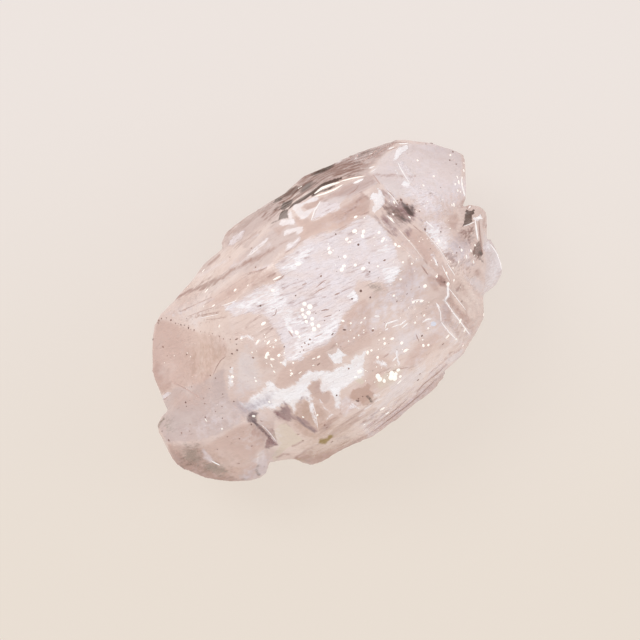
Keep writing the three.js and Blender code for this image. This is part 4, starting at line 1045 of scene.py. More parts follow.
@dataclass(frozen=True)
class BerylFinish:
    """Clear pale pink beryl, clouded in many tints, some of them painted shade and painted highlights, with
    a painted glow.
    """

    flesh: Colour = linear(231, 212, 206)
    flesh_warm: Colour = linear(225, 203, 195)
    light: Colour = linear(244, 234, 232)
    dark: Colour = linear(196, 168, 160)
    dash: Colour = linear(186, 160, 158)
    clear: Colour = (0.98, 0.93, 0.915)
    tint: Colour = (0.92, 0.74, 0.68)
    density: float = 30.0
    ior: float = 1.58
    # painted glow: the milky share emits its own colour, standing in for light scattered inside the stone
    glow: float = 0.2
    thinning: Clouds = Clouds(0.9, (0.38, 0.62), 4.0, 0.6, -20.0, (1.6, 0.8, 1.0))
    drift: Clouds = Clouds(1.8, (0.35, 0.65), 3.0, 0.55)
    sheen: Clouds = Clouds(1.5, None, 2.0, 0.45, -20.0, (2.6, 0.9, 1.0))
    lit: Span = (0.52, 0.72)
    lit_share: float = 0.22
    dim: Span = (0.54, 0.74)
    dim_share: float = 0.18
    dashes: Clouds = Clouds(0.3, (0.5, 0.7), 2.0, 0.5, -20.0, (3.0, 0.6, 1.0))
    dash_drifts: Clouds = Clouds(1.3, (0.42, 0.6))
    dash_share: float = 0.12
    dash_on_milk: float = 0.7
    dash_on_snow: float = 0.1
    fine_relief: float = 0.02
    dash_relief: float = 0.05
    bare_relief: float = 0.2
    facet: float = 0.9
    roughness: float = 0.16
    cloud_roughness: float = 0.25
    dark_and_shade_polish: float = 0.1
    glass_share: float = 0.6
    veil: float = 0.78
    cloud_veil: float = 0.2
    clearing: float = 0.45
    matt_shade_and_ochre: float = 0.9
    steep_skin: float = 0.3

    def build(self) -> bpy.types.Material:
        """Makes the material.

        Returns:
            The beryl.
        """
        material = bpy.data.materials.new("beryl")
        graph = Graph(material)
        grains = {grain: graph.noise(grain.value) for grain in Grain}
        masks, body = self.paint(graph, grains)
        cloudy = masks[Tint.MILK].most(masks[Tint.FROST]).most(masks[Tint.SNOW])
        # the dark marks and the painted shade on and behind the ridge; they also tint the glass share
        dark_marks_and_shade = masks[Tint.SMOKE].most(masks[Tint.GREY]).most(masks[Tint.SOOT]).most(masks[Tint.RIDGE_SHADE])
        relief = graph.bump(grains[Grain.STRIA], self.fine_relief)
        etched = cloudy * (1.0 - self.bare_relief) + self.bare_relief
        relief = graph.bump(grains[Grain.DASH] * etched, self.dash_relief, relief)
        relief = graph.bump(graph.cells(self.facet), self.fine_relief, relief)
        rough = (cloudy * self.cloud_roughness - dark_marks_and_shade * self.dark_and_shade_polish) + self.roughness
        coated = {"Roughness": rough, "IOR": self.ior, "Normal": relief}
        clear = {
            "Base Color": graph.blend(dark_marks_and_shade, self.clear, body),
            "Roughness": rough * self.glass_share,
            "Transmission Weight": 1.0,
        }
        # the milky share, which glows with the painted glow
        lit = {"Base Color": body, "Emission Color": body, "Emission Strength": self.glow}
        matt = {"Base Color": body, "Roughness": 1.0, "Specular IOR Level": 0.0, "Normal": relief}
        veiled = (cloudy * self.cloud_veil - graph.trait(CLEAR) * self.clearing) + self.veil
        inner = graph.mix(veiled, graph.principled(coated | clear), graph.principled(coated | lit))
        # the painted shade behind the ridge and the ochre stain take a matt skin
        shade_and_ochre = masks[Tint.RIDGE_SHADE].most(masks[Tint.OCHRE])
        dull = (shade_and_ochre * self.matt_shade_and_ochre).most(graph.trait(STEEP) * self.steep_skin)
        surface = graph.mix(dull, inner, graph.principled(matt))
        absorbed = {"Color": opaque(self.tint), "Density": self.density}
        graph.finish(surface, graph.node("ShaderNodeVolumeAbsorption", {}, absorbed))
        return material

    def paint(
        self,
        graph: Graph,
        grains: Mapping[Grain, Value],
    ) -> tuple[dict[Tint, Value], bpy.types.NodeSocket]:
        """Lays every tint over the flesh, some of them painted shade and painted highlights, then a faint
        light and dark sheen.

        Args:
            graph: The material's nodes.
            grains: The fraying noises.

        Returns:
            The tints' masks, and the colour.
        """
        thinning = graph.noise(self.thinning)
        body = graph.blend(graph.noise(self.drift), self.flesh_warm, self.flesh)
        masks = {}
        for tint in Tint:
            layer = tint.value
            edge = graph.trait(layer.name) + (grains[layer.grain] - 0.5) * layer.fray
            masks[tint] = edge.between(layer.low, layer.high) * (1.0 - thinning * layer.thin)
            body = graph.blend(masks[tint], body, layer.colour)
            if tint is Tint.SNOW:
                body = graph.blend(self.dashed(graph, masks), body, self.dash)
        sheen = graph.noise(self.sheen)
        body = graph.blend(sheen.between(*self.lit) * self.lit_share, body, self.light)
        body = graph.blend((1.0 - sheen).between(*self.dim) * self.dim_share, body, self.dark)
        return masks, body

    def dashed(self, graph: Graph, masks: Mapping[Tint, Value]) -> Value:
        """Draws the fine dark dashes of the etched, milky face, which lie in drifts.

        Args:
            graph: The material's nodes.
            masks: The tints' masks so far.

        Returns:
            Where the dashes show.
        """
        shown = masks[Tint.MILK] * self.dash_on_milk + masks[Tint.SNOW] * self.dash_on_snow + self.dash_share
        return graph.noise(self.dashes) * graph.noise(self.dash_drifts) * shown


@dataclass(frozen=True)
class VeilFinish:
    """A healed fracture, a thin milky film with clear gaps."""

    colour: Colour = (0.93, 0.89, 0.91)
    shade: Colour = (0.8, 0.7, 0.69)
    roughness: float = 0.6
    wisps: Clouds = Clouds(0.7, None, 5.0, 0.65)
    film: Span = (0.42, 0.66)
    most: float = 0.75

    def build(self) -> bpy.types.Material:
        """Makes the material.

        Returns:
            The film.
        """
        material = bpy.data.materials.new("fracture_veil")
        graph = Graph(material)
        wisps = graph.noise(self.wisps)
        inputs = {
            "Base Color": graph.blend(wisps, self.shade, self.colour),
            "Roughness": self.roughness,
            "Alpha": wisps.between(*self.film) * self.most,
        }
        graph.finish(graph.principled(inputs))
        return material


@dataclass(frozen=True)
class FlakeFinish:
    """A bright speck or edge, mostly a painted glint or edge highlight, with a painted glow for light from
    inside the stone. Its film may have gaps.
    """

    colour: Colour
    glow: float
    least: float = 1.0
    worn: float = 0.92
    roughness: float = 0.25
    wear: Clouds = Clouds(1.5)
    film: Clouds = Clouds(0.5, (0.4, 0.6), 3.0)

    def build(self) -> bpy.types.Material:
        """Makes the material.

        Returns:
            The flake's material.
        """
        material = bpy.data.materials.new("glint_and_flake")
        graph = Graph(material)
        worn = tuple(share * self.worn for share in self.colour)
        inputs = {
            "Base Color": graph.blend(graph.noise(self.wear), worn, self.colour),
            "Roughness": self.roughness,
            "Alpha": graph.noise(self.film) * (1.0 - self.least) + self.least,
            "Emission Color": opaque(self.colour),
            "Emission Strength": self.glow,
        }
        graph.finish(graph.principled(inputs))
        return material


@dataclass(frozen=True)
class GrainFinish:
    """A dark mineral grain or stria, with a faint painted glow for light from inside the stone. Its film may
    have gaps.
    """

    dark: Colour
    brown: Colour
    glow: float
    least: float = 1.0
    roughness: float = 0.45
    drift: Clouds = Clouds(2.0, (0.4, 0.6))
    film: Clouds = Clouds(0.6, (0.4, 0.6), 3.0)

    def build(self) -> bpy.types.Material:
        """Makes the material.

        Returns:
            The grain's material.
        """
        material = bpy.data.materials.new("dark_grain")
        graph = Graph(material)
        tone = graph.blend(graph.noise(self.drift), self.dark, self.brown)
        inputs = {
            "Base Color": tone,
            "Roughness": self.roughness,
            "Alpha": graph.noise(self.film) * (1.0 - self.least) + self.least,
            "Emission Color": tone,
            "Emission Strength": self.glow,
        }
        graph.finish(graph.principled(inputs))
        return material


@dataclass(frozen=True)
class FloorFinish:
    """Plain matt pale paper, lit a little through from below and a touch warmer towards one side."""

    colour: Colour = (0.22, 0.217, 0.214)
    cool: Colour = (0.976, 0.884, 0.835)
    warm: Colour = (0.928, 0.816, 0.704)
    roughness: float = 0.95
    turn: float = -42.0
    reach: float = 23.5
    glow: float = 0.668

    def build(self) -> bpy.types.Material:
        """Makes the material.

        Returns:
            The paper.
        """
        material = bpy.data.materials.new("paper")
        graph = Graph(material)
        place = graph.node("ShaderNodeSeparateXYZ", {}, {0: graph.place(self.turn)})
        across = Value(graph, place.outputs["Y"])
        inputs = {
            "Base Color": opaque(self.colour),
            "Roughness": self.roughness,
            "Specular IOR Level": 0.0,
            "Emission Color": graph.blend(across.between(-self.reach, self.reach), self.warm, self.cool),
            "Emission Strength": self.glow,
        }
        graph.finish(graph.principled(inputs))
        return material


# ---- The stone ----------------------------------------------------------------------------------------

APART = 17.0  # how far apart the clouds of two tints are read, in cloud sizes
FRACTAL = (1.0, 2.0, 3)  # how fast the clouds' layers fade, how fast they shrink and how many there are


@dataclass
class Crystal:
    """The stone itself, a fine copy of the solid with worn edges and grown relief.

    The spans foot and girdle are heights in millimetres. The spans grown, upward and steep are shares of the
    skin's direction along one axis.
    """

    name: str = "crystal"
    weld: float = 0.001 * MM
    voxel: float = 0.148 * MM
    lump: float = 4.0 * MM
    lump_depth: float = 0.30 * MM
    ripple_length: float = 7.0 * MM
    ripple_width: float = 0.45 * MM
    ripple_depth: float = 0.09 * MM
    etch: float = 0.55 * MM
    etch_depth: float = 0.05 * MM
    ripple_turn: float = -12.0
    foot: Span = (0.05, 0.8)
    grown: Span = (0.62, 0.34)
    upward: Span = (-0.1, 0.2)
    girdle: Span = (3.0, 5.0)
    steep: Span = (0.05, 0.4)
    sway: float = 0.07
    sway_size: float = 1.3
    sway_seed: int = 7
    clear_size: float = 3.6
    clear_levels: Span = (-0.1, 0.3)
    finish: BerylFinish = field(default_factory=BerylFinish)
    shape: bpy.types.Object = field(init=False)

    def build(self) -> bpy.types.Object:
        """Models the stone, marks it and gives it its material.

        Returns:
            The finished stone.
        """
        self.copy_solid()
        self.sort_faces()
        self.roughen()
        self.mark()
        self.dress()
        return self.shape

    def copy_solid(self) -> None:
        """Copies the CAD solid and remeshes the copy finely, which rounds its edges a little."""
        Bench.pick(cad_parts[NODE])
        bpy.ops.object.duplicate()
        stone = Bench.fresh(self.name)
        for key in [k for k in stone.keys() if k.startswith("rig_")]:
            del stone[key]
        stone.parent = None
        stone.data.materials.clear()
        Bench.pick(stone)
        bpy.ops.object.mode_set(mode="EDIT")
        bpy.ops.mesh.select_all(action="SELECT")
        bpy.ops.mesh.remove_doubles(threshold=self.weld)
        bpy.ops.object.mode_set(mode="OBJECT")
        Bench.modify(stone, "REMESH", mode="VOXEL", voxel_size=self.voxel, adaptivity=0.0)
        Bench.modify(stone, "SMOOTH", factor=0.5, iterations=1)
        self.shape = stone

    def points(self) -> tuple[np.ndarray, np.ndarray]:
        """The stone's points and their normals.

        Returns:
            Both, one a row, in millimetres.
        """
        mesh = self.shape.data
        points = np.zeros(len(mesh.vertices) * 3, np.float32)
        normals = np.zeros_like(points)
        mesh.vertices.foreach_get("co", points)
        mesh.vertices.foreach_get("normal", normals)
        return points.reshape(-1, 3).astype(float) / MM, normals.reshape(-1, 3).astype(float)

    def group(self, name: str, weights: np.ndarray) -> None:
        """Stores a weight for each point as a vertex group, for the modifiers."""
        group = self.shape.vertex_groups.new(name=name)
        for index, weight in enumerate(weights):
            group.add([index], float(weight), "REPLACE")

    def store(self, name: str, weights: np.ndarray) -> None:
        """Stores a weight for each point as an attribute, for the material."""
        attribute = self.shape.data.attributes.new(name, "FLOAT", "POINT")
        attribute.data.foreach_set("value", np.clip(weights, 0.0, 1.0).astype(np.float32))

    def sort_faces(self) -> None:
        """Tells grown faces, which lie along the c axis, from broken ones across it."""
        points, normals = self.points()
        free = smoothstep(points[:, 2], *self.foot)
        grown = smoothstep(np.abs(normals[:, 0]), *self.grown)
        self.group("free", free)
        self.group("ripples", free * grown)

    def displace(
        self,
        group: str,
        size: float,
        depth: float,
        detail: int,
        guide: bpy.types.Object | None = None,
    ) -> None:
        """Raises and sinks the points of a group by cloudy noise.

        Args:
            group: The vertex group that it acts on.
            size: The clouds' size.
            depth: How far the highest and lowest points lie apart.
            detail: How many finer layers the noise has.
            guide: An object whose turn and scale stretch the noise.
        """
        clouds = bpy.data.textures.new("relief", "CLOUDS")
        clouds.noise_scale = size
        clouds.noise_depth = detail
        coordinates = {"texture_coords": "LOCAL"}
        if guide is not None:
            coordinates = {"texture_coords": "OBJECT", "texture_coords_object": guide}
        Bench.modify(
            self.shape,
            "DISPLACE",
            texture=clouds,
            strength=depth,
            mid_level=0.5,
            vertex_group=group,
            **coordinates,
        )
        bpy.data.textures.remove(clouds)

    def roughen(self) -> None:
        """Gives the stone its lumps, the ripples along its grown faces and their etching."""
        self.displace("free", self.lump, self.lump_depth, detail=2)
        bpy.ops.object.empty_add(rotation=(0.0, 0.0, math.radians(self.ripple_turn)))
        guide = bpy.context.active_object
        guide.scale = (self.ripple_length, self.ripple_width, self.ripple_width)
        bpy.context.view_layer.update()
        self.displace("ripples", 1.0, self.ripple_depth, detail=2, guide=guide)
        bpy.data.objects.remove(guide)
        self.displace("ripples", self.etch, self.etch_depth, detail=3)
        self.shape.vertex_groups.clear()
        Bench.shade_smooth(self.shape)

    def mark(self) -> None:
        """Stores each tint's mask, as drawn where the stone is seen from above and clouded elsewhere."""
        points, normals = self.points()
        noise.seed_set(self.sway_seed)
        sway = np.array([noise.noise_vector(Vector(p * self.sway_size)) for p in points])
        plan = points[:, :2] + self.sway * sway[:, :2]
        drawn = smoothstep(normals[:, 2], *self.upward) * smoothstep(points[:, 2], *self.girdle)
        for order, tint in enumerate(Tint):
            size, low, high, most = HIDDEN.get(tint, NOT_HIDDEN)
            cloud = most * smoothstep(self.clouds(points, size, order), low, high)
            self.store(tint.value.name, self.drawing(MARKS[tint], plan) * drawn + cloud * (1.0 - drawn))
        cloud = smoothstep(self.clouds(points, self.clear_size, len(Tint)), *self.clear_levels)
        self.store(CLEAR, self.drawing(CLEAR_MARKS, plan) * drawn + cloud * (1.0 - drawn))
        self.store(STEEP, 1.0 - smoothstep(normals[:, 2], *self.steep))

    @staticmethod
    def drawing(marks: Iterable[Zone | Stroke], plan: np.ndarray) -> np.ndarray:
        """Lays marks over each other, the strongest showing."""
        return np.max([mark.weights(plan) for mark in marks], axis=0)

    @staticmethod
    def clouds(points: np.ndarray, size: float, order: int) -> np.ndarray:
        """Cloudy noise at each point.

        Args:
            points: The places, one a row.
            size: The clouds' size.
            order: Which of many unlike noises it is.

        Returns:
            The noise, about -1 to 1.
        """
        offset = Vector((APART * order, 0.0, 0.0))
        return np.array([noise.fractal(Vector(p / size) + offset, *FRACTAL) for p in points])

    def dress(self) -> None:
        """Gives the stone its material and puts it in the solid's place."""
        self.shape.data.materials.append(self.finish.build())
        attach(self.shape, BODY)
        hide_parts(NODE)


# ---- What is in and on the stone ----------------------------------------------------------------------


@dataclass(frozen=True)
class Spot:
    """One small thing's place, half length and shape, seen in plan, in millimetres and degrees."""

    x: float
    y: float
    radius: float
    stretch: float = 1.0
    turn: float = 0.0


def spots(*rows: tuple[float, ...]) -> tuple[Spot, ...]:
    """Makes a spot of each row of x, y, radius, stretch and turn."""
    return tuple(Spot(*row) for row in rows)


DRIFT_STRETCH = (1.0, 1.8)
DRIFT_TURN = (-60.0, 20.0)


@dataclass(frozen=True)
class Cluster:
    """A patch in plan where small things lie, in millimetres."""

    centre: Plan
    spread: Plan
    count: int
    smallest: float
    largest: float

    def spots(self, dice: random.Random) -> list[Spot]:
        """Draws the things' places and sizes.

        Args:
            dice: The random numbers.

        Returns:
            Their spots.
        """
        return [
            Spot(
                self.centre[0] + dice.uniform(-1.0, 1.0) * self.spread[0],
                self.centre[1] + dice.uniform(-1.0, 1.0) * self.spread[1],
                dice.uniform(self.smallest, self.largest),
                dice.uniform(*DRIFT_STRETCH),
                dice.uniform(*DRIFT_TURN),
            )
            for _ in range(self.count)
        ]


# Bright specks: flakes and bubbles in the skin, drawn as painted glints with a painted glow
BRIGHT_SPOTS = spots(
    # the two strings of bubbles in the milky face
    (-0.55, 1.62, 0.15), (-0.95, 1.4, 0.14), (-0.4, 1.2, 0.2), (-1.15, 1.13, 0.1), (-0.75, 0.95, 0.17),
    (-1.15, 0.88, 0.13), (-1.3, 0.58, 0.12), (-0.85, 0.45, 0.14), (-1.1, 0.15, 0.14), (-1.25, -0.2, 0.17),
    (-0.85, -0.25, 0.14), (-2.55, 0.75, 0.15, 2, 80), (-2.35, 0.45, 0.18, 1.3, 80), (-2.4, 0.1, 0.09),
    # its lone ones
    (-3.85, 1.05, 0.09), (-4.3, 0.8, 0.07), (-3.7, 2.55, 0.22, 2.2, -8), (-1.6, 3.88, 0.14, 1.5, -30),
    (1.05, 4.05, 0.22, 2, -30), (-3.6, 5.72, 0.16, 2, -8), (-2.7, 5.35, 0.09, 1.5, -10), (3.3, 3.15, 0.14),
    (3.45, 3.42, 0.15, 1.7, 10), (4.85, 3.05, 0.14, 1.3), (4.9, 2.75, 0.08), (5.65, 3.1, 0.19, 1.4, -25),
    (6.4, 3.82, 0.15, 1.3), (6.1, 2.65, 0.17, 1.6, 20), (5.85, 2.45, 0.15, 1.2, 60), (3.9, 2.2, 0.13),
    (3.1, 1.65, 0.17, 1.2), (3.4, 1.75, 0.16, 1.5, -30), (4.05, 1.25, 0.12), (4.3, 0.68, 0.16, 1.2, -20),
    (6.9, 1.85, 0.12, 1.4), (6.65, 1.23, 0.12, 1.4), (6.85, 1.3, 0.1), (7.2, 0.42, 0.14, 1.6, 70),
    (7.3, 0.15, 0.13, 1.6, -40), (5.2, 0.1, 0.07),
    # below the milky ridge
    (0.5, -4.05, 0.18, 1.7, 70), (0.8, -4.12, 0.1), (2.05, -4.1, 0.11), (1.85, -4.4, 0.12),
    (2.5, -4.5, 0.16, 1.4, -40), (0.8, -4.8, 0.12), (2.8, -5.2, 0.13), (2.65, -5.8, 0.2, 1.6, -15),
    (-0.85, -4.7, 0.18), (-1.35, -4.8, 0.1), (-0.1, -5.85, 0.24, 1.3, 80), (-0.15, -6.1, 0.2),
    (0.02, -6.4, 0.18, 1.4, 80), (0.55, -6.55, 0.22), (0.78, -6.35, 0.2), (0.72, -6.75, 0.22),
    (0.95, -6.6, 0.17), (1.3, -6.5, 0.17, 1.3, -45), (0.78, -7.2, 0.22, 1.6, -10), (1.1, -6.95, 0.12),
    (3.85, -6.4, 0.14, 1.4, 80), (4.15, -6.62, 0.1), (5.6, -7.1, 0.2, 1.5), (5.4, -3.55, 0.12),
    (5.9, -3.9, 0.16, 1.8, -30), (5.62, -3.7, 0.08), (6.8, -3.25, 0.16), (5.8, -1.7, 0.09),
    (4.65, -2.25, 0.1), (2, -2.05, 0.11, 1.5), (1.6, -2.12, 0.1, 1.5, -15), (1, -1.65, 0.08),
    (0.02, -2.5, 0.06), (0.48, -2.6, 0.07), (0.85, -2.68, 0.07), (1.25, -2.8, 0.05), (1.95, -3.02, 0.07),
    (0.7, -1.15, 0.12, 1.4, -50), (-2.35, -1.9, 0.15, 1.4), (-3.05, -2.1, 0.1, 1.5, -60),
    (-2.7, -1.75, 0.14, 2.5, -40), (-4.6, -1.5, 0.11), (-4.5, -1.28, 0.07), (-4.75, -1.55, 0.07),
    (-4.1, -1.85, 0.14, 3, -15), (-1.45, -7.86, 0.22, 2, -5), (-1.4, -8.38, 0.16, 1.8, -20),
    (-6.12, -4.4, 0.1, 1.4, 80), (-5.25, -5, 0.08), (-3.2, -7.85, 0.1, 2),
    # beside the milky ridge and on the flank
    (-5, 0.72, 0.24, 2.2, 18), (-5.2, 0.6, 0.12), (-4.95, 0.2, 0.18, 2, -15), (-4.4, 0.1, 0.14, 1.4),
    (-6.9, -0.17, 0.09), (-6.8, 0.06, 0.06), (-5.45, -0.55, 0.12, 1.8, 80), (-5.3, -0.1, 0.2, 4, 50),
    (-4.65, -0.37, 0.09, 1.6), (-8.75, -1.95, 0.13), (-11.1, -1.1, 0.09, 1.3), (-5.5, 5.93, 0.2, 3, -20),
    (-6.2, 4.55, 0.18, 2.8, -8), (-5.2, 7.12, 0.22, 3.2, -15), (-6.1, 6.4, 0.09, 1.6, -10),
    (-9.3, 4.7, 0.05), (-9.3, 4.35, 0.05), (-11.55, 0.15, 0.14, 3, 85), (-4.4, 8.4, 0.16, 1.8, 30),
    (-7.95, 1.2, 0.14, 1.3, 80), (-5.6, 2.82, 0.1, 1.6, -20), (-4.9, 1.85, 0.18, 2.4, 18),
    (-8.2, 0.95, 0.07), (-5.7, 1.55, 0.07), (-4.35, 1.3, 0.2, 3, 10), (-4, -1, 0.07),
    (-7.2, -1.95, 0.1, 1.4, 80),
    # the stepped end and the point
    (8.55, 2.15, 0.09), (9.2, 2.75, 0.14, 1.8, 70), (8.2, 1.95, 0.2, 2.4, 75), (9.3, 1.2, 0.12, 1.8, 80),
    (11.65, 2.25, 0.1, 1.3, 80), (12.7, 2.25, 0.09), (12.6, 3.9, 0.09), (14.7, 2.6, 0.1, 1.4, 20),
    (15.05, 1.5, 0.06), (14.65, 1.1, 0.13, 1.4, 30), (14.2, 0.8, 0.08), (13.78, 0.7, 0.17, 1.6, 50),
    (13.48, 0.77, 0.09), (13.3, 0.3, 0.1), (13.9, 0.45, 0.14, 1.8, 60), (13.4, 0.1, 0.07),
    (13.95, 1.05, 0.12, 1.8, 70), (12.38, -0.28, 0.17, 1.4, 20), (12.25, -0.2, 0.1),
    (11.05, -3.6, 0.12, 1.3, 80), (11.02, -4.02, 0.09), (11.55, -3.5, 0.09), (10.68, -4.33, 0.14, 1.8, 80),
    (10.5, -3.7, 0.16, 2.2, 70), (10.55, -3.1, 0.11), (9.8, -3.6, 0.13, 1.8, 80),
    (8.6, -3.6, 0.12, 1.5, 75), (8.66, -4.35, 0.1), (9.2, -3.65, 0.1, 1.8, 75), (7.15, -1.4, 0.08),
    (7.9, -3.3, 0.11), (7.05, -6.88, 0.2, 1.2), (6.88, -7.6, 0.2, 1.6, 80), (5.97, -7.7, 0.09),
    (8.15, -4.27, 0.15), (6.05, -8.4, 0.1, 1.6, 20), (7.4, -8.45, 0.1, 1.3), (8.7, -7.72, 0.14, 2.4, 20),
    (6.75, -0.9, 0.08), (4.5, -4.75, 0.1, 1.4, 60), (5.35, -4.8, 0.1, 1.4, 20), (4.95, -5.7, 0.08),
    (4.1, -6.05, 0.06), (9.75, -1.5, 0.08), (5, 8.15, 0.1), (4.8, 8.2, 0.08), (9.35, 7.05, 0.05),
    (10.4, 6.55, 0.14, 3, 5),
)

BRIGHT_DRIFTS = (
    Cluster((2.0, -4.2), (3.0, 2.2), 26, 0.03, 0.06),
    Cluster((7.4, -2.6), (2.6, 2.6), 26, 0.03, 0.06),
    Cluster((5.0, 2.4), (2.4, 1.6), 12, 0.03, 0.06),
    Cluster((-5.0, 0.6), (1.2, 1.4), 12, 0.03, 0.07),
    Cluster((10.4, 1.0), (2.4, 3.0), 16, 0.03, 0.06),
    Cluster((-9.6, 2.5), (3.0, 3.4), 6, 0.03, 0.05),
)

DARK_SPOTS = spots(
    # on the flank and the lobe
    (-10.35, 6.25, 0.09), (-10.55, 7.15, 0.08), (-9.95, 7.7, 0.1), (-9.45, 7.8, 0.07), (-9.3, 7.88, 0.08),
    (-9.05, 7.86, 0.06), (-10.55, 5.55, 0.05), (-9.4, 4.65, 0.06), (-10.7, 2.65, 0.07, 1.3),
    (-9.1, 2.35, 0.06), (-8.95, 1.95, 0.06), (-9.8, 1.7, 0.05, 1.5, 80), (-11.8, 2.1, 0.08),
    (-11.95, 1.85, 0.06, 1.6), (-14.55, 1.7, 0.08, 1.6, 20), (-14.62, 0.88, 0.09, 1.3, 80),
    (-10.6, 1.45, 0.08, 1.6, 80), (-10.8, 1.1, 0.06), (-13.55, 0.65, 0.07), (-12.65, 0.7, 0.05),
    (-13, 0.35, 0.05), (-11.45, 0.35, 0.07), (-10.6, 0.15, 0.05), (-10, 0.1, 0.05), (-9.1, -0.2, 0.06),
    (-10.55, -0.55, 0.06, 1.3), (-9.35, 0.75, 0.05), (-11.2, -1.8, 0.07, 1.4), (-10.65, -2.5, 0.07),
    (-10.35, -3.5, 0.08), (-9.3, -2.3, 0.09, 1.4, -60), (-8.58, -2.6, 0.1, 2, -70),
    (-11.95, -3.8, 0.12, 2.5, -60), (-12.4, -2, 0.04), (-10.1, -3, 0.04), (-10.1, -2.3, 0.04),
    # along the string on the flank's edge
    (-8.6, 7.3, 0.11, 1.5, -20), (-8.5, 6.9, 0.06), (-8.27, 6.55, 0.09, 1.4, 80),
    (-8.1, 6.35, 0.08, 2, -45), (-8, 6, 0.08), (-7.8, 5.6, 0.09, 1.3), (-7.5, 5.2, 0.05),
    (-6.95, 4.5, 0.05), (-6.7, 4, 0.07), (-6.6, 3.68, 0.06), (-6.25, 3.3, 0.07, 1.5),
    (-5.9, 3.02, 0.12, 2.2, -12), (-6.15, 2.75, 0.05), (-8.75, 7.65, 0.05), (-8.35, 6.75, 0.04),
    (-7.95, 5.8, 0.04), (-7.3, 4.95, 0.04), (-7.1, 4.7, 0.04),
    # in the middle
    (-6.85, 2.45, 0.08), (-6.4, 2.4, 0.09, 1.4, -60), (-5.9, 1.22, 0.09), (-7.6, 1.8, 0.06),
    (-1.97, -0.55, 0.08), (-2.42, -0.5, 0.08, 1.4, 80), (-2.28, -0.75, 0.06),
    (-2.76, -0.55, 0.08, 1.8, -70), (-2.82, -0.82, 0.05), (-3.1, -0.75, 0.05), (-3.7, 0.3, 0.07, 1.6),
    (3.1, -0.4, 0.1), (2.25, -0.4, 0.07), (5.85, 0.1, 0.1, 1.6, -15), (4.5, 0.2, 0.06), (3.3, -1.2, 0.07),
    (0.35, -1.7, 0.14, 2, -60), (-0.5, -1.35, 0.12, 2.6, 10), (4.55, -2.7, 0.07, 1.4),
    (5.45, -2.8, 0.07, 1.5), (1.85, -3.1, 0.11), (-1.3, -4, 0.1, 1.4, 80), (-3.25, -4.86, 0.08),
    (4.25, -5.8, 0.09, 1.4, 30), (2.3, -7.8, 0.09), (1.9, -8.05, 0.12, 1.8, -5), (-5.35, -5.9, 0.08),
    (-5.35, -6.15, 0.12, 1.8), (-7.25, -5.1, 0.09, 1.6, 85), (-7.3, -5.7, 0.07),
    (-5.8, -7.2, 0.12, 1.8, -5), (5.2, 2.2, 0.09), (1.68, 2.32, 0.09, 1.4), (-0.62, 2.5, 0.06),
    (-3, 3.65, 0.07), (4.5, 3.85, 0.06), (4.9, 0.7, 0.06), (-1.4, 5.96, 0.07), (-2.3, 7.8, 0.06),
    (-0.7, 7.22, 0.08, 1.8, -15), (-2.38, -6.2, 0.07), (-2.25, -6.12, 0.06), (-1.9, -6.2, 0.05),
    (-2.35, -6.25, 0.07), (5, -7.3, 0.12, 2, -30), (6.85, -7.35, 0.08, 1.6, -60),
    (-2.7, -2.3, 0.16, 2.4, 10),
    # the stepped end and the point
    (9.7, 2.55, 0.12, 1.3, 80), (9.8, 2, 0.08), (10.15, -3, 0.07), (10.6, -2.85, 0.07), (9.55, -0.2, 0.1),
    (8.1, -5.9, 0.09, 1.4, 80), (14.4, 2.35, 0.07), (14.56, 1.82, 0.07), (15, 2.65, 0.07),
    (13.9, 4.4, 0.05), (11.6, 1.5, 0.08, 2, -30), (12.5, 1.3, 0.05), (8.05, -4, 0.1), (8.9, -1.5, 0.05),
    (10.3, -1.1, 0.06),
)

DARK_DRIFTS = (
    Cluster((-10.2, 3.4), (3.0, 3.6), 14, 0.02, 0.04),
    Cluster((-11.0, -1.6), (2.6, 2.2), 8, 0.02, 0.04),
    Cluster((1.0, 1.6), (4.6, 2.6), 16, 0.02, 0.05),
    Cluster((0.5, -3.6), (5.6, 2.6), 22, 0.02, 0.05),
    Cluster((9.3, 1.9), (0.9, 0.9), 16, 0.03, 0.08),
    Cluster((8.0, -5.0), (2.4, 2.6), 14, 0.02, 0.05),
    Cluster((-2.0, 6.6), (6.0, 1.4), 12, 0.02, 0.05),
    Cluster((-1.0, -7.6), (5.6, 0.8), 10, 0.02, 0.05),
)

SIDES = Cluster((0.0, 0.0), (12.0, 5.0), 90, 0.05, 0.14)


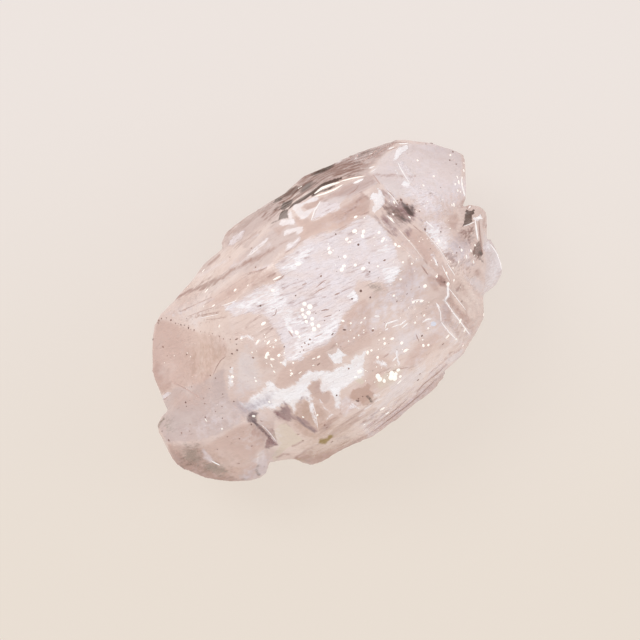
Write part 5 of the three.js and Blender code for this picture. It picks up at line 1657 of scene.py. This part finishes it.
@dataclass
class Scatter:
    """Small things set into the stone's skin, each a copy of one modelled shape, joined in one piece."""

    name: str
    slot: str
    spots: tuple[Spot, ...]
    drifts: tuple[Cluster, ...]
    around: Cluster
    finish: FlakeFinish | GrainFinish
    flatness: float
    proud: float
    seed: int
    steepest: float = 0.1
    fall: float = 0.4
    heights: Span = (2.0, 9.0)

    def build(self, stone: bpy.types.Object) -> bpy.types.Object:
        """Models one, copies it to each place on the stone, and joins the copies.

        Args:
            stone: The stone that they lie in.

        Returns:
            The joined piece.
        """
        dice = random.Random(self.seed)
        pattern = self.pattern()
        joined = bmesh.new()
        drifting = [spot for drift in self.drifts for spot in drift.spots(dice)]
        for spot in [*self.spots, *drifting]:
            hit, point, normal, _ = stone.ray_cast(Vector((spot.x * MM, spot.y * MM, OUTSIDE)), DOWN)
            if hit:
                self.add_copy(joined, pattern.data, point, normal, spot)
        for spot in self.around.spots(dice):
            way = Vector((dice.gauss(0.0, 1.0), dice.gauss(0.0, 1.0), -abs(dice.gauss(0.0, self.fall))))
            way.normalize()
            aim = Vector((spot.x * MM, spot.y * MM, dice.uniform(*self.heights) * MM))
            hit, point, normal, _ = stone.ray_cast(aim + way * OUTSIDE, -way)
            if hit and normal.z < self.steepest:
                self.add_copy(joined, pattern.data, point, normal, spot)
        joined.to_mesh(pattern.data)
        joined.free()
        pattern.data.materials.append(self.finish.build())
        Bench.shade_smooth(pattern)
        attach(pattern, BODY)
        return pattern

    def pattern(self) -> bpy.types.Object:
        """Models the shape that is repeated, one unit in radius.

        Returns:
            Its object.
        """
        bpy.ops.object.select_all(action="DESELECT")
        bpy.ops.mesh.primitive_ico_sphere_add(subdivisions=1, radius=1.0)
        piece = Bench.fresh(self.name)
        bpy.ops.object.mode_set(mode="EDIT")
        bpy.ops.mesh.select_all(action="SELECT")
        bpy.ops.mesh.subdivide(number_cuts=1, smoothness=1.0, fractal=0.25, seed=self.seed)
        bpy.ops.transform.resize(value=(1.0, 1.0, self.flatness))
        bpy.ops.object.mode_set(mode="OBJECT")
        return piece

    def add_copy(
        self,
        joined: bmesh.types.BMesh,
        pattern: bpy.types.Mesh,
        point: Vector,
        normal: Vector,
        spot: Spot,
    ) -> None:
        """Adds one copy, lying in the stone's skin.

        Args:
            joined: The mesh that it goes into.
            pattern: The shape to copy.
            point: Its place on the skin.
            normal: The skin's direction there.
            spot: The copy's size and turn.
        """
        first = len(joined.verts)
        joined.from_mesh(pattern)
        joined.verts.ensure_lookup_table()
        turn = math.radians(spot.turn)
        along = Vector((math.cos(turn), math.sin(turn), 0.0))
        along = (along - normal * along.dot(normal)).normalized()
        axes = Matrix((along, normal.cross(along), normal)).transposed().to_4x4()
        length = spot.radius * MM
        width = length / spot.stretch
        size = Matrix.Diagonal((length, width, width, 1.0))
        place = Matrix.Translation(point + normal * width * self.proud)
        bmesh.ops.transform(joined, matrix=place @ axes @ size, verts=joined.verts[first:])


@dataclass(frozen=True)
class Thread:
    """A thin line on the skin through places in plan, in millimetres."""

    half_width: float
    line: tuple[Plan, ...]


def threads(*rows: tuple[float, ...]) -> tuple[Thread, ...]:
    """Makes a thread of each row of a half width and the x and y of its places, in turn."""
    return tuple(Thread(row[0], places(row[1:])) for row in rows)


# Mostly painted highlights along lit edges, with a few white scratches and cleavage lines
WHITE_THREADS = threads(
    # painted highlights on the edges of the folds under the dark ridge
    (0.09, 7.9, 5.75, 8.3, 5.62, 8.7, 5.5), (0.06, 9.5, 5.82, 9.95, 5.65), (0.03, 9.4, 5.5, 9.9, 5.45),
    (0.06, 11.5, 5.95, 12, 5.78), (0.05, 12.4, 5.75, 12.7, 5.5, 12.95, 5.3), (0.05, 6.6, 8.32, 7, 8.25),
    (0.03, -5.1, 5.55, -4.6, 5.3, -4, 5.1),
    # painted highlights along the steps and their edges
    (0.05, 5.95, -6, 5.9, -6.9, 5.98, -7.8), (0.06, 7.2, -5, 7.08, -6, 7.05, -7, 6.95, -8.1),
    (0.07, 7.2, -5, 7.6, -4.9, 8.2, -4.2), (0.035, 8, -4.5, 7.95, -5.8, 7.9, -6.6),
    (0.022, 9.42, -0.4, 9.4, -2, 9.2, -3.2), (0.016, 8.1, 1, 8.08, -0.4, 8, -1.8),
    (0.05, 3.85, 5.78, 4.5, 6.15, 5.3, 6.38), (0.06, 12.5, -4.2, 12.45, -5, 12.2, -5.7, 11.9, -6.15),
    (0.04, 5.95, -6, 6.4, -5.4, 6.6, -4.7), (0.06, 8.65, -2.2, 8.45, -2.8),
    (0.035, 8.75, -2.9, 8.6, -3.4, 8.4, -4.2), (0.03, 9.1, -3.1, 8.95, -4.2),
    (0.04, 9.35, 3.9, 9.4, 3.2, 9.3, 2.4), (0.05, 8.15, 2.4, 8.2, 1.6), (0.04, 11, 3, 11.2, 4.1, 11.4, 4.8),
    (0.05, 10, 0.2, 10.1, -0.6),
    # painted highlights on the blocky corner and the rims beside it
    (0.07, 12.8, -2.15, 12.35, -2.8, 11.95, -3.4), (0.035, 11.8, -1.9, 12.3, -2.1, 12.85, -2.25),
    (0.1, 12.9, -2.05, 13.2, -2.25, 13.3, -2.45), (0.06, 13, -1.2, 13.3, -1.15),
    (0.07, 13.35, -0.9, 13.5, -0.3, 13.65, 0.05, 13.9, 0.5, 14.2, 0.85),
    # the blade's lit edge, the lobe's glint and arc
    (0.042, -8.76, -2.9, -8.73, -3.6, -8.8, -4.4), (0.05, -13.32, -2.3, -13.18, -2.7, -13.05, -3),
    (0.022, -4.85, -4, -5.3, -4.9, -5.95, -5.85),
    # scratches and nicks below the milky ridge
    (0.065, 2.6, -3.6, 2.9, -3.42, 3.3, -3.58, 3.75, -3.78), (0.045, 3, -3.85, 3.6, -4.1),
    (0.055, 3.5, -4.15, 4.15, -4.18), (0.05, 3.5, -4.4, 4.15, -4.42),
    (0.025, -6.95, 6, -6.2, 5.55, -5.6, 5.2), (0.09, 2.6, -2.4, 2.9, -2.7),
    (0.05, 5.3, -3.45, 5.7, -3.6, 6.1, -4), (0.06, 1.4, -5.75, 1.9, -5.7),
    (0.06, 4.9, -5.1, 5.3, -5.15, 5.6, -5.35), (0.06, 6.6, -4.7, 6.55, -5.2), (0.05, 2.5, -3.7, 2.8, -3.75),
    # the plate below
    (0.04, -1.6, -8.3, -1.2, -8.4),
)

# painted glints along the ridge and on the milky face's upper edge
CREAM_THREADS = threads(
    (0.085, 5.3, 7.08, 6, 7.02, 6.6, 6.8, 7.3, 6.46), (0.065, 5.2, 6.92, 5.9, 6.6, 6.6, 6.34, 7.3, 6.2),
    (0.05, 7.3, 6.5, 8.1, 6.1, 8.9, 5.6), (0.07, -1.1, 4.42, -0.75, 4.33, -0.45, 4.25),
)

DARK_THREADS = threads(
    # painted shade along the ridge, between its painted glints
    (0.03, 7.3, 6.65, 8.1, 6.2, 8.9, 5.68), (0.03, 9.4, 5.3, 9.38, 4.9, 9.3, 4.4),
    # striae on the upper side
    (0.03, -2, 6, -1.4, 5.6, -0.8, 5.4), (0.04, -1, 4.25, -0.6, 4.12, -0.2, 4.15),
    (0.03, 7, 5.4, 7.6, 5.3, 8.2, 5.4), (0.04, 9.2, 6.5, 10.4, 6.45, 11.2, 6.5),
    (0.035, 10.6, 6.2, 11.6, 6.15, 12.4, 5.9, 12.9, 5.4), (0.03, 11.4, 5.9, 12.2, 5.6),
    # the etched face
    (0.035, 0.5, 1.7, 1, 1.62, 1.4, 1.48), (0.035, 0.8, 1.95, 1.5, 1.92, 1.8, 1.85),
    (0.05, 0, 0.45, 0.3, 0.3, 0.5, 0.12), (0.05, 1.5, 0.65, 1.9, 0.5), (0.035, -0.2, 0, 0.4, -0.3),
    (0.03, -1.6, -0.65, -1, -0.85), (0.05, -2.7, 1, -2.75, 0.4), (0.045, 0.2, 2.75, 0.6, 2.62),
    (0.035, -2.9, 2.55, -2.6, 2.45, -2.3, 2.7),
    # facet edges, with painted shade along them
    (0.05, 9.35, 3.9, 9.45, 3), (0.06, 8, -1.7, 8, -2.2), (0.05, 7.6, -1.9, 7.5, -2.8),
    (0.04, 9.1, 0.6, 9.2, -0.2), (0.06, 13, -2.35, 12.4, -3.1, 11.6, -4.35),
    (0.08, 13.7, -2.6, 13.3, -2.95, 13, -3.1), (0.04, 7.15, -7, 7.2, -7.8),
    (0.035, -8.9, 2.25, -8.3, 2.52, -7.8, 2.65, -7.3, 2.62), (0.03, -11.6, 4, -11.1, 2.8, -10.7, 1.4),
    (0.02, -6.7, 6.05, -6, 5.65, -5.4, 5.3), (0.02, -6.6, 5.55, -6, 5.1, -5.4, 4.7),
    (0.02, -7.5, 6.65, -6.6, 6.3, -5.6, 5.85), (0.02, -7.7, 7.3, -6.4, 6.9, -5.2, 6.5),
    (0.035, -13, 3.32, -12.5, 3.3),
    # the lower side and the plate
    (0.04, 1.1, -5.1, 1.6, -5.15), (0.03, 0.5, -6.05, 1, -6.3, 1.4, -6.5, 2, -6.85),
    (0.04, -3, -8.72, -1.5, -8.83, 0, -8.95, 1.5, -9, 3, -8.92),
    (0.035, 1.2, -8.68, 2, -8.57, 2.8, -8.62, 3.5, -8.68, 4.2, -8.6),
    (0.03, -3.2, -8.3, -2.2, -8.45, -1, -8.58, 0.4, -8.58), (0.03, 3.8, -6, 4, -5.4),
    (0.03, 0.9, -2.75, 1.5, -2.95),
)


@dataclass
class Threads:
    """Fine raised lines on the skin, where a cleavage edge or a healed crack comes out, and painted
    highlights and painted shade along edges.
    """

    name: str
    slot: str
    lines: tuple[Thread, ...]
    finish: FlakeFinish | GrainFinish
    step: float = 0.12
    fewest: int = 4
    tip: float = 0.15
    crown: float = 0.018 * MM
    thickness: float = 0.03 * MM
    lowest: float = 4.5 * MM

    def build(self, stone: bpy.types.Object) -> bpy.types.Object:
        """Models each line and joins them.

        Args:
            stone: The stone that they lie on.

        Returns:
            The joined piece.
        """
        piece = Bench.join([self.ribbon(thread, stone) for thread in self.lines], self.name)
        Bench.modify(piece, "SOLIDIFY", thickness=self.thickness, offset=-1.0)
        Bench.shade_smooth(piece)
        piece.data.materials.append(self.finish.build())
        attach(piece, BODY)
        return piece

    def ribbon(self, thread: Thread, stone: bpy.types.Object) -> bpy.types.Object:
        """Models one line, a narrow grid laid on the stone that tapers to both ends.

        Args:
            thread: Its places and width.
            stone: The stone that it lies on.

        Returns:
            The ribbon.
        """
        corners = np.array(thread.line)
        runs = np.linalg.norm(np.diff(corners, axis=0), axis=1)
        reached = np.concatenate([[0.0], np.cumsum(runs)])
        pieces = max(self.fewest, round(reached[-1] / self.step))
        bpy.ops.object.select_all(action="DESELECT")
        bpy.ops.mesh.primitive_grid_add(x_subdivisions=pieces, y_subdivisions=2, size=2.0)
        ribbon = Bench.fresh("ribbon")
        for vertex in ribbon.data.vertices:
            share = (vertex.co.x + 1.0) / 2.0
            at = share * reached[-1]
            x, y = (float(np.interp(at, reached, corners[:, axis])) for axis in (0, 1))
            leg = min(int(np.searchsorted(reached, at, side="right")), len(runs)) - 1
            run = (corners[leg + 1] - corners[leg]) / runs[leg]
            swell = self.tip + (1.0 - self.tip) * math.sqrt(math.sin(math.pi * share))
            width = thread.half_width * swell * vertex.co.y
            start = Vector(((x - run[1] * width) * MM, (y + run[0] * width) * MM, OUTSIDE))
            hit, point, normal, _ = stone.ray_cast(start, DOWN)
            if not hit or point.z < self.lowest:
                _, point, normal, _ = stone.closest_point_on_mesh(Vector((start.x, start.y, self.lowest)))
            vertex.co = point + normal * self.crown * (1.0 - vertex.co.y**2)
        return ribbon


@dataclass(frozen=True)
class Veil:
    """One healed fracture inside the stone, in millimetres and degrees."""

    centre: Plan
    depth: float
    length: float
    width: float
    heading: float
    tilt: float


VEILS = (
    Veil((-6.8, -1.6), 0.9, 5.0, 2.6, -18.0, 20.0),
    Veil((-2.4, -3.8), 1.0, 4.6, 2.4, -14.0, -25.0),
    Veil((-2.2, 2.4), 1.2, 3.6, 5.0, -10.0, 12.0),
    Veil((2.6, 1.4), 1.6, 7.0, 3.6, -18.0, -10.0),
    Veil((4.6, 6.0), 0.8, 4.8, 1.4, -20.0, 30.0),
    Veil((9.6, -0.6), 0.9, 1.6, 4.6, 4.0, -15.0),
    Veil((9.4, 3.4), 0.7, 3.0, 1.2, 35.0, 20.0),
    Veil((5.6, -4.6), 1.8, 5.0, 3.0, 20.0, 30.0),
    Veil((-9.6, 3.4), 2.4, 4.0, 4.6, 60.0, 15.0),
    Veil((-4.0, 5.6), 1.6, 5.0, 2.0, -14.0, 30.0),
    Veil((0.6, 0.2), 5.5, 9.0, 6.0, 8.0, 8.0),
    Veil((-4.4, 0.6), 7.5, 7.0, 5.0, 40.0, -20.0),
    Veil((6.0, 0.8), 7.0, 6.0, 5.0, -30.0, 20.0),
)


@dataclass
class Veils:
    """The healed fractures, thin wavy films that follow the stone's inside."""

    name: str = "fracture_veils"
    thickness: float = 0.02 * MM
    wave: float = 1.0 * MM
    wave_length: float = 1.6 * MM
    columns: int = 28
    rows: int = 20
    oval: float = 0.85
    rag: float = 0.3
    rag_length: float = 0.9 * MM
    clearance: float = 0.25 * MM
    finish: VeilFinish = field(default_factory=VeilFinish)

    def build(self, stone: bpy.types.Object) -> bpy.types.Object:
        """Models each veil and joins them.

        Args:
            stone: The stone that they lie in.

        Returns:
            The joined piece.
        """
        piece = Bench.join([self.film(veil, stone) for veil in VEILS], self.name)
        Bench.modify(piece, "SOLIDIFY", thickness=self.thickness, offset=0.0)
        Bench.shade_smooth(piece)
        piece.data.materials.append(self.finish.build())
        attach(piece, BODY)
        return piece

    def film(self, veil: Veil, stone: bpy.types.Object) -> bpy.types.Object:
        """Models one veil.

        Args:
            veil: Its place and size.
            stone: The stone that it lies in.

        Returns:
            A wavy sheet, cut back to the inside of the stone.
        """
        _, skin, _, _ = stone.ray_cast(Vector((*veil.centre, OUTSIDE / MM)) * MM, DOWN)
        bpy.ops.object.select_all(action="DESELECT")
        bpy.ops.mesh.primitive_grid_add(
            x_subdivisions=self.columns,
            y_subdivisions=self.rows,
            size=1.0,
            location=skin - Vector((0.0, 0.0, veil.depth * MM)),
            rotation=(math.radians(veil.tilt), 0.0, math.radians(veil.heading)),
        )
        film = Bench.fresh("film")
        film.scale = (veil.length * MM, veil.width * MM, 1.0)
        Bench.settle(film)
        waves = bpy.data.textures.new("waves", "CLOUDS")
        waves.noise_scale = self.wave_length
        settings = {"texture": waves, "texture_coords": "LOCAL", "strength": self.wave, "mid_level": 0.5}
        Bench.modify(film, "DISPLACE", **settings)
        bpy.data.textures.remove(waves)
        self.trim(film, veil, stone)
        return film

    def trim(self, film: bpy.types.Object, veil: Veil, stone: bpy.types.Object) -> None:
        """Deletes what lies outside the veil's ragged oval or too near the stone's skin.

        Args:
            film: The sheet to trim.
            veil: Its place and size.
            stone: The stone that it lies in.
        """
        sheet = bmesh.new()
        sheet.from_mesh(film.data)
        middle = sum((v.co for v in sheet.verts), Vector()) / len(sheet.verts)
        heading = Matrix.Rotation(-math.radians(veil.heading), 3, "Z")
        lost = []
        for vertex in sheet.verts:
            flat = heading @ (vertex.co - middle)
            reach = Vector((flat.x / (veil.length * MM / 2), flat.y / (veil.width * MM / 2), 0.0)).length
            ragged = self.oval + self.rag * noise.noise(vertex.co / self.rag_length)
            _, skin, normal, _ = stone.closest_point_on_mesh(vertex.co)
            depth = (skin - vertex.co).dot(normal)
            if reach > ragged or depth < self.clearance:
                lost.append(vertex)
        bmesh.ops.delete(sheet, geom=lost, context="VERTS")
        sheet.to_mesh(film.data)
        sheet.free()


# ---- Studio -------------------------------------------------------------------------------------------


@dataclass(frozen=True)
class Softbox:
    """A large soft lamp that faces the stone."""

    name: str
    azimuth: float
    elevation: float
    distance: float
    size: float
    power: float
    colour: Colour = (1.0, 0.97, 0.93)

    def build(self, target: Vector) -> bpy.types.Object:
        """Makes the lamp.

        Args:
            target: What it faces.

        Returns:
            The lamp.
        """
        lamp = bpy.data.lights.new(self.name, "AREA")
        lamp.shape = "DISK"
        lamp.size = self.size
        lamp.energy = self.power
        lamp.color = self.colour
        made = bpy.data.objects.new(self.name, lamp)
        around = math.radians(self.azimuth)
        up = math.radians(self.elevation)
        aim = Vector((math.sin(around) * math.cos(up), math.cos(around) * math.cos(up), math.sin(up)))
        made.location = target + aim * self.distance
        made.rotation_euler = aim.to_track_quat("Z", "Y").to_euler()
        bpy.context.scene.collection.objects.link(made)
        return made


@dataclass
class Studio:
    """A pale sheet of paper, soft lamps and a camera that looks straight down."""

    floor_size: float = 3.0
    girdle: float = 6.5 * MM
    picture_width: float = 46.93 * MM
    heading: float = 42.0
    centre: Plan = (-0.49, 0.01)
    lens: float = 400.0
    sky_top: Colour = (1.0, 0.98, 0.96)
    sky_rim: Colour = (0.92, 0.89, 0.87)
    sky_strength: float = 0.7
    sky_reach: Span = (0.0, 0.75)
    clip: float = 0.01
    brightest: float = 4.0
    lamps: tuple[Softbox, ...] = (
        Softbox("key", -10.0, 48.0, 1.5, 0.7, 5.0),
        Softbox("fill", 125.0, 30.0, 1.5, 0.9, 2.6, (0.93, 0.96, 1.0)),
    )

    def build(self) -> None:
        """Sets the floor, the lamps, the sky and the camera."""
        self.floor()
        self.sky()
        for lamp in self.lamps:
            lamp.build(Vector((0.0, 0.0, self.girdle)))
        self.camera()
        scene = bpy.context.scene
        scene.view_settings.view_transform = "Standard"
        scene.cycles.use_denoising = True
        scene.cycles.sample_clamp_indirect = self.brightest

    def floor(self) -> None:
        """Lays the paper under the stone."""
        bpy.ops.object.select_all(action="DESELECT")
        bpy.ops.mesh.primitive_plane_add(size=self.floor_size)
        paper = Bench.fresh("floor")
        paper.data.materials.append(FloorFinish().build())

    def sky(self) -> None:
        """Makes the surroundings, bright overhead and dimmer towards the horizon."""
        world = bpy.data.worlds.new("studio")
        bpy.context.scene.world = world
        graph = Graph(world)
        way = graph.node("ShaderNodeTexCoord", {}, {}).outputs["Generated"]
        up = Value(graph, graph.node("ShaderNodeSeparateXYZ", {}, {0: way}).outputs["Z"])
        colour = graph.blend(up.between(*self.sky_reach), self.sky_rim, self.sky_top)
        inputs = {"Color": colour, "Strength": self.sky_strength}
        light = graph.node("ShaderNodeBackground", {}, inputs)
        graph.node("ShaderNodeOutputWorld", {}, {"Surface": light.outputs[0]})

    def camera(self) -> None:
        """Hangs the camera over the stone, turned so that the c axis rises to the right."""
        data = bpy.data.cameras.new("camera")
        data.lens = self.lens
        data.clip_start = self.clip
        camera = bpy.data.objects.new("camera", data)
        height = self.picture_width / data.sensor_width * self.lens
        camera.location = (self.centre[0] * MM, self.centre[1] * MM, self.girdle + height)
        camera.rotation_euler = (0.0, 0.0, -math.radians(self.heading))
        bpy.context.scene.collection.objects.link(camera)
        bpy.context.scene.camera = camera


# ---- Assembly -----------------------------------------------------------------------------------------


def report(piece: bpy.types.Object) -> None:
    """Logs a finished piece and its size."""
    log.info("%s: %d faces", piece.name, len(piece.data.polygons))


def main() -> None:
    """Builds the stone, what it holds and its surroundings."""
    logging.basicConfig(level=logging.INFO, format="%(name)s %(message)s")
    # all four finishes have a painted glow; the white and cream pieces are mostly painted highlights and
    # glints
    white = FlakeFinish(linear(251, 247, 247), glow=0.25, least=0.85)
    cream = FlakeFinish(linear(254, 249, 242), glow=0.34)
    dark = GrainFinish(linear(122, 92, 84), linear(164, 132, 122), glow=0.12)
    rosy = GrainFinish(linear(178, 146, 138), linear(206, 177, 170), glow=0.15, least=0.8)
    stone = Crystal().build()
    report(stone)
    flakes = (BRIGHT_SPOTS, BRIGHT_DRIFTS, SIDES, cream)
    grains = (DARK_SPOTS, DARK_DRIFTS, SIDES, dark)
    for parts in (
        Veils(),
        Threads("edge_highlights_and_scratches", "fracture_veil", WHITE_THREADS, white),
        Threads("glints", "fracture_veil", CREAM_THREADS, cream),
        # the dark lines are striae, some of them painted shade along the ridge and facet edges
        Threads("striae", "dark_inclusion", DARK_THREADS, rosy),
        Scatter("flakes", "fracture_veil", *flakes, flatness=0.3, proud=0.05, seed=11),
        Scatter("dark_grains", "dark_inclusion", *grains, flatness=0.5, proud=-0.1, seed=23),
    ):
        report(parts.build(stone))
    Studio().build()


if __name__ == "__main__":
    main()
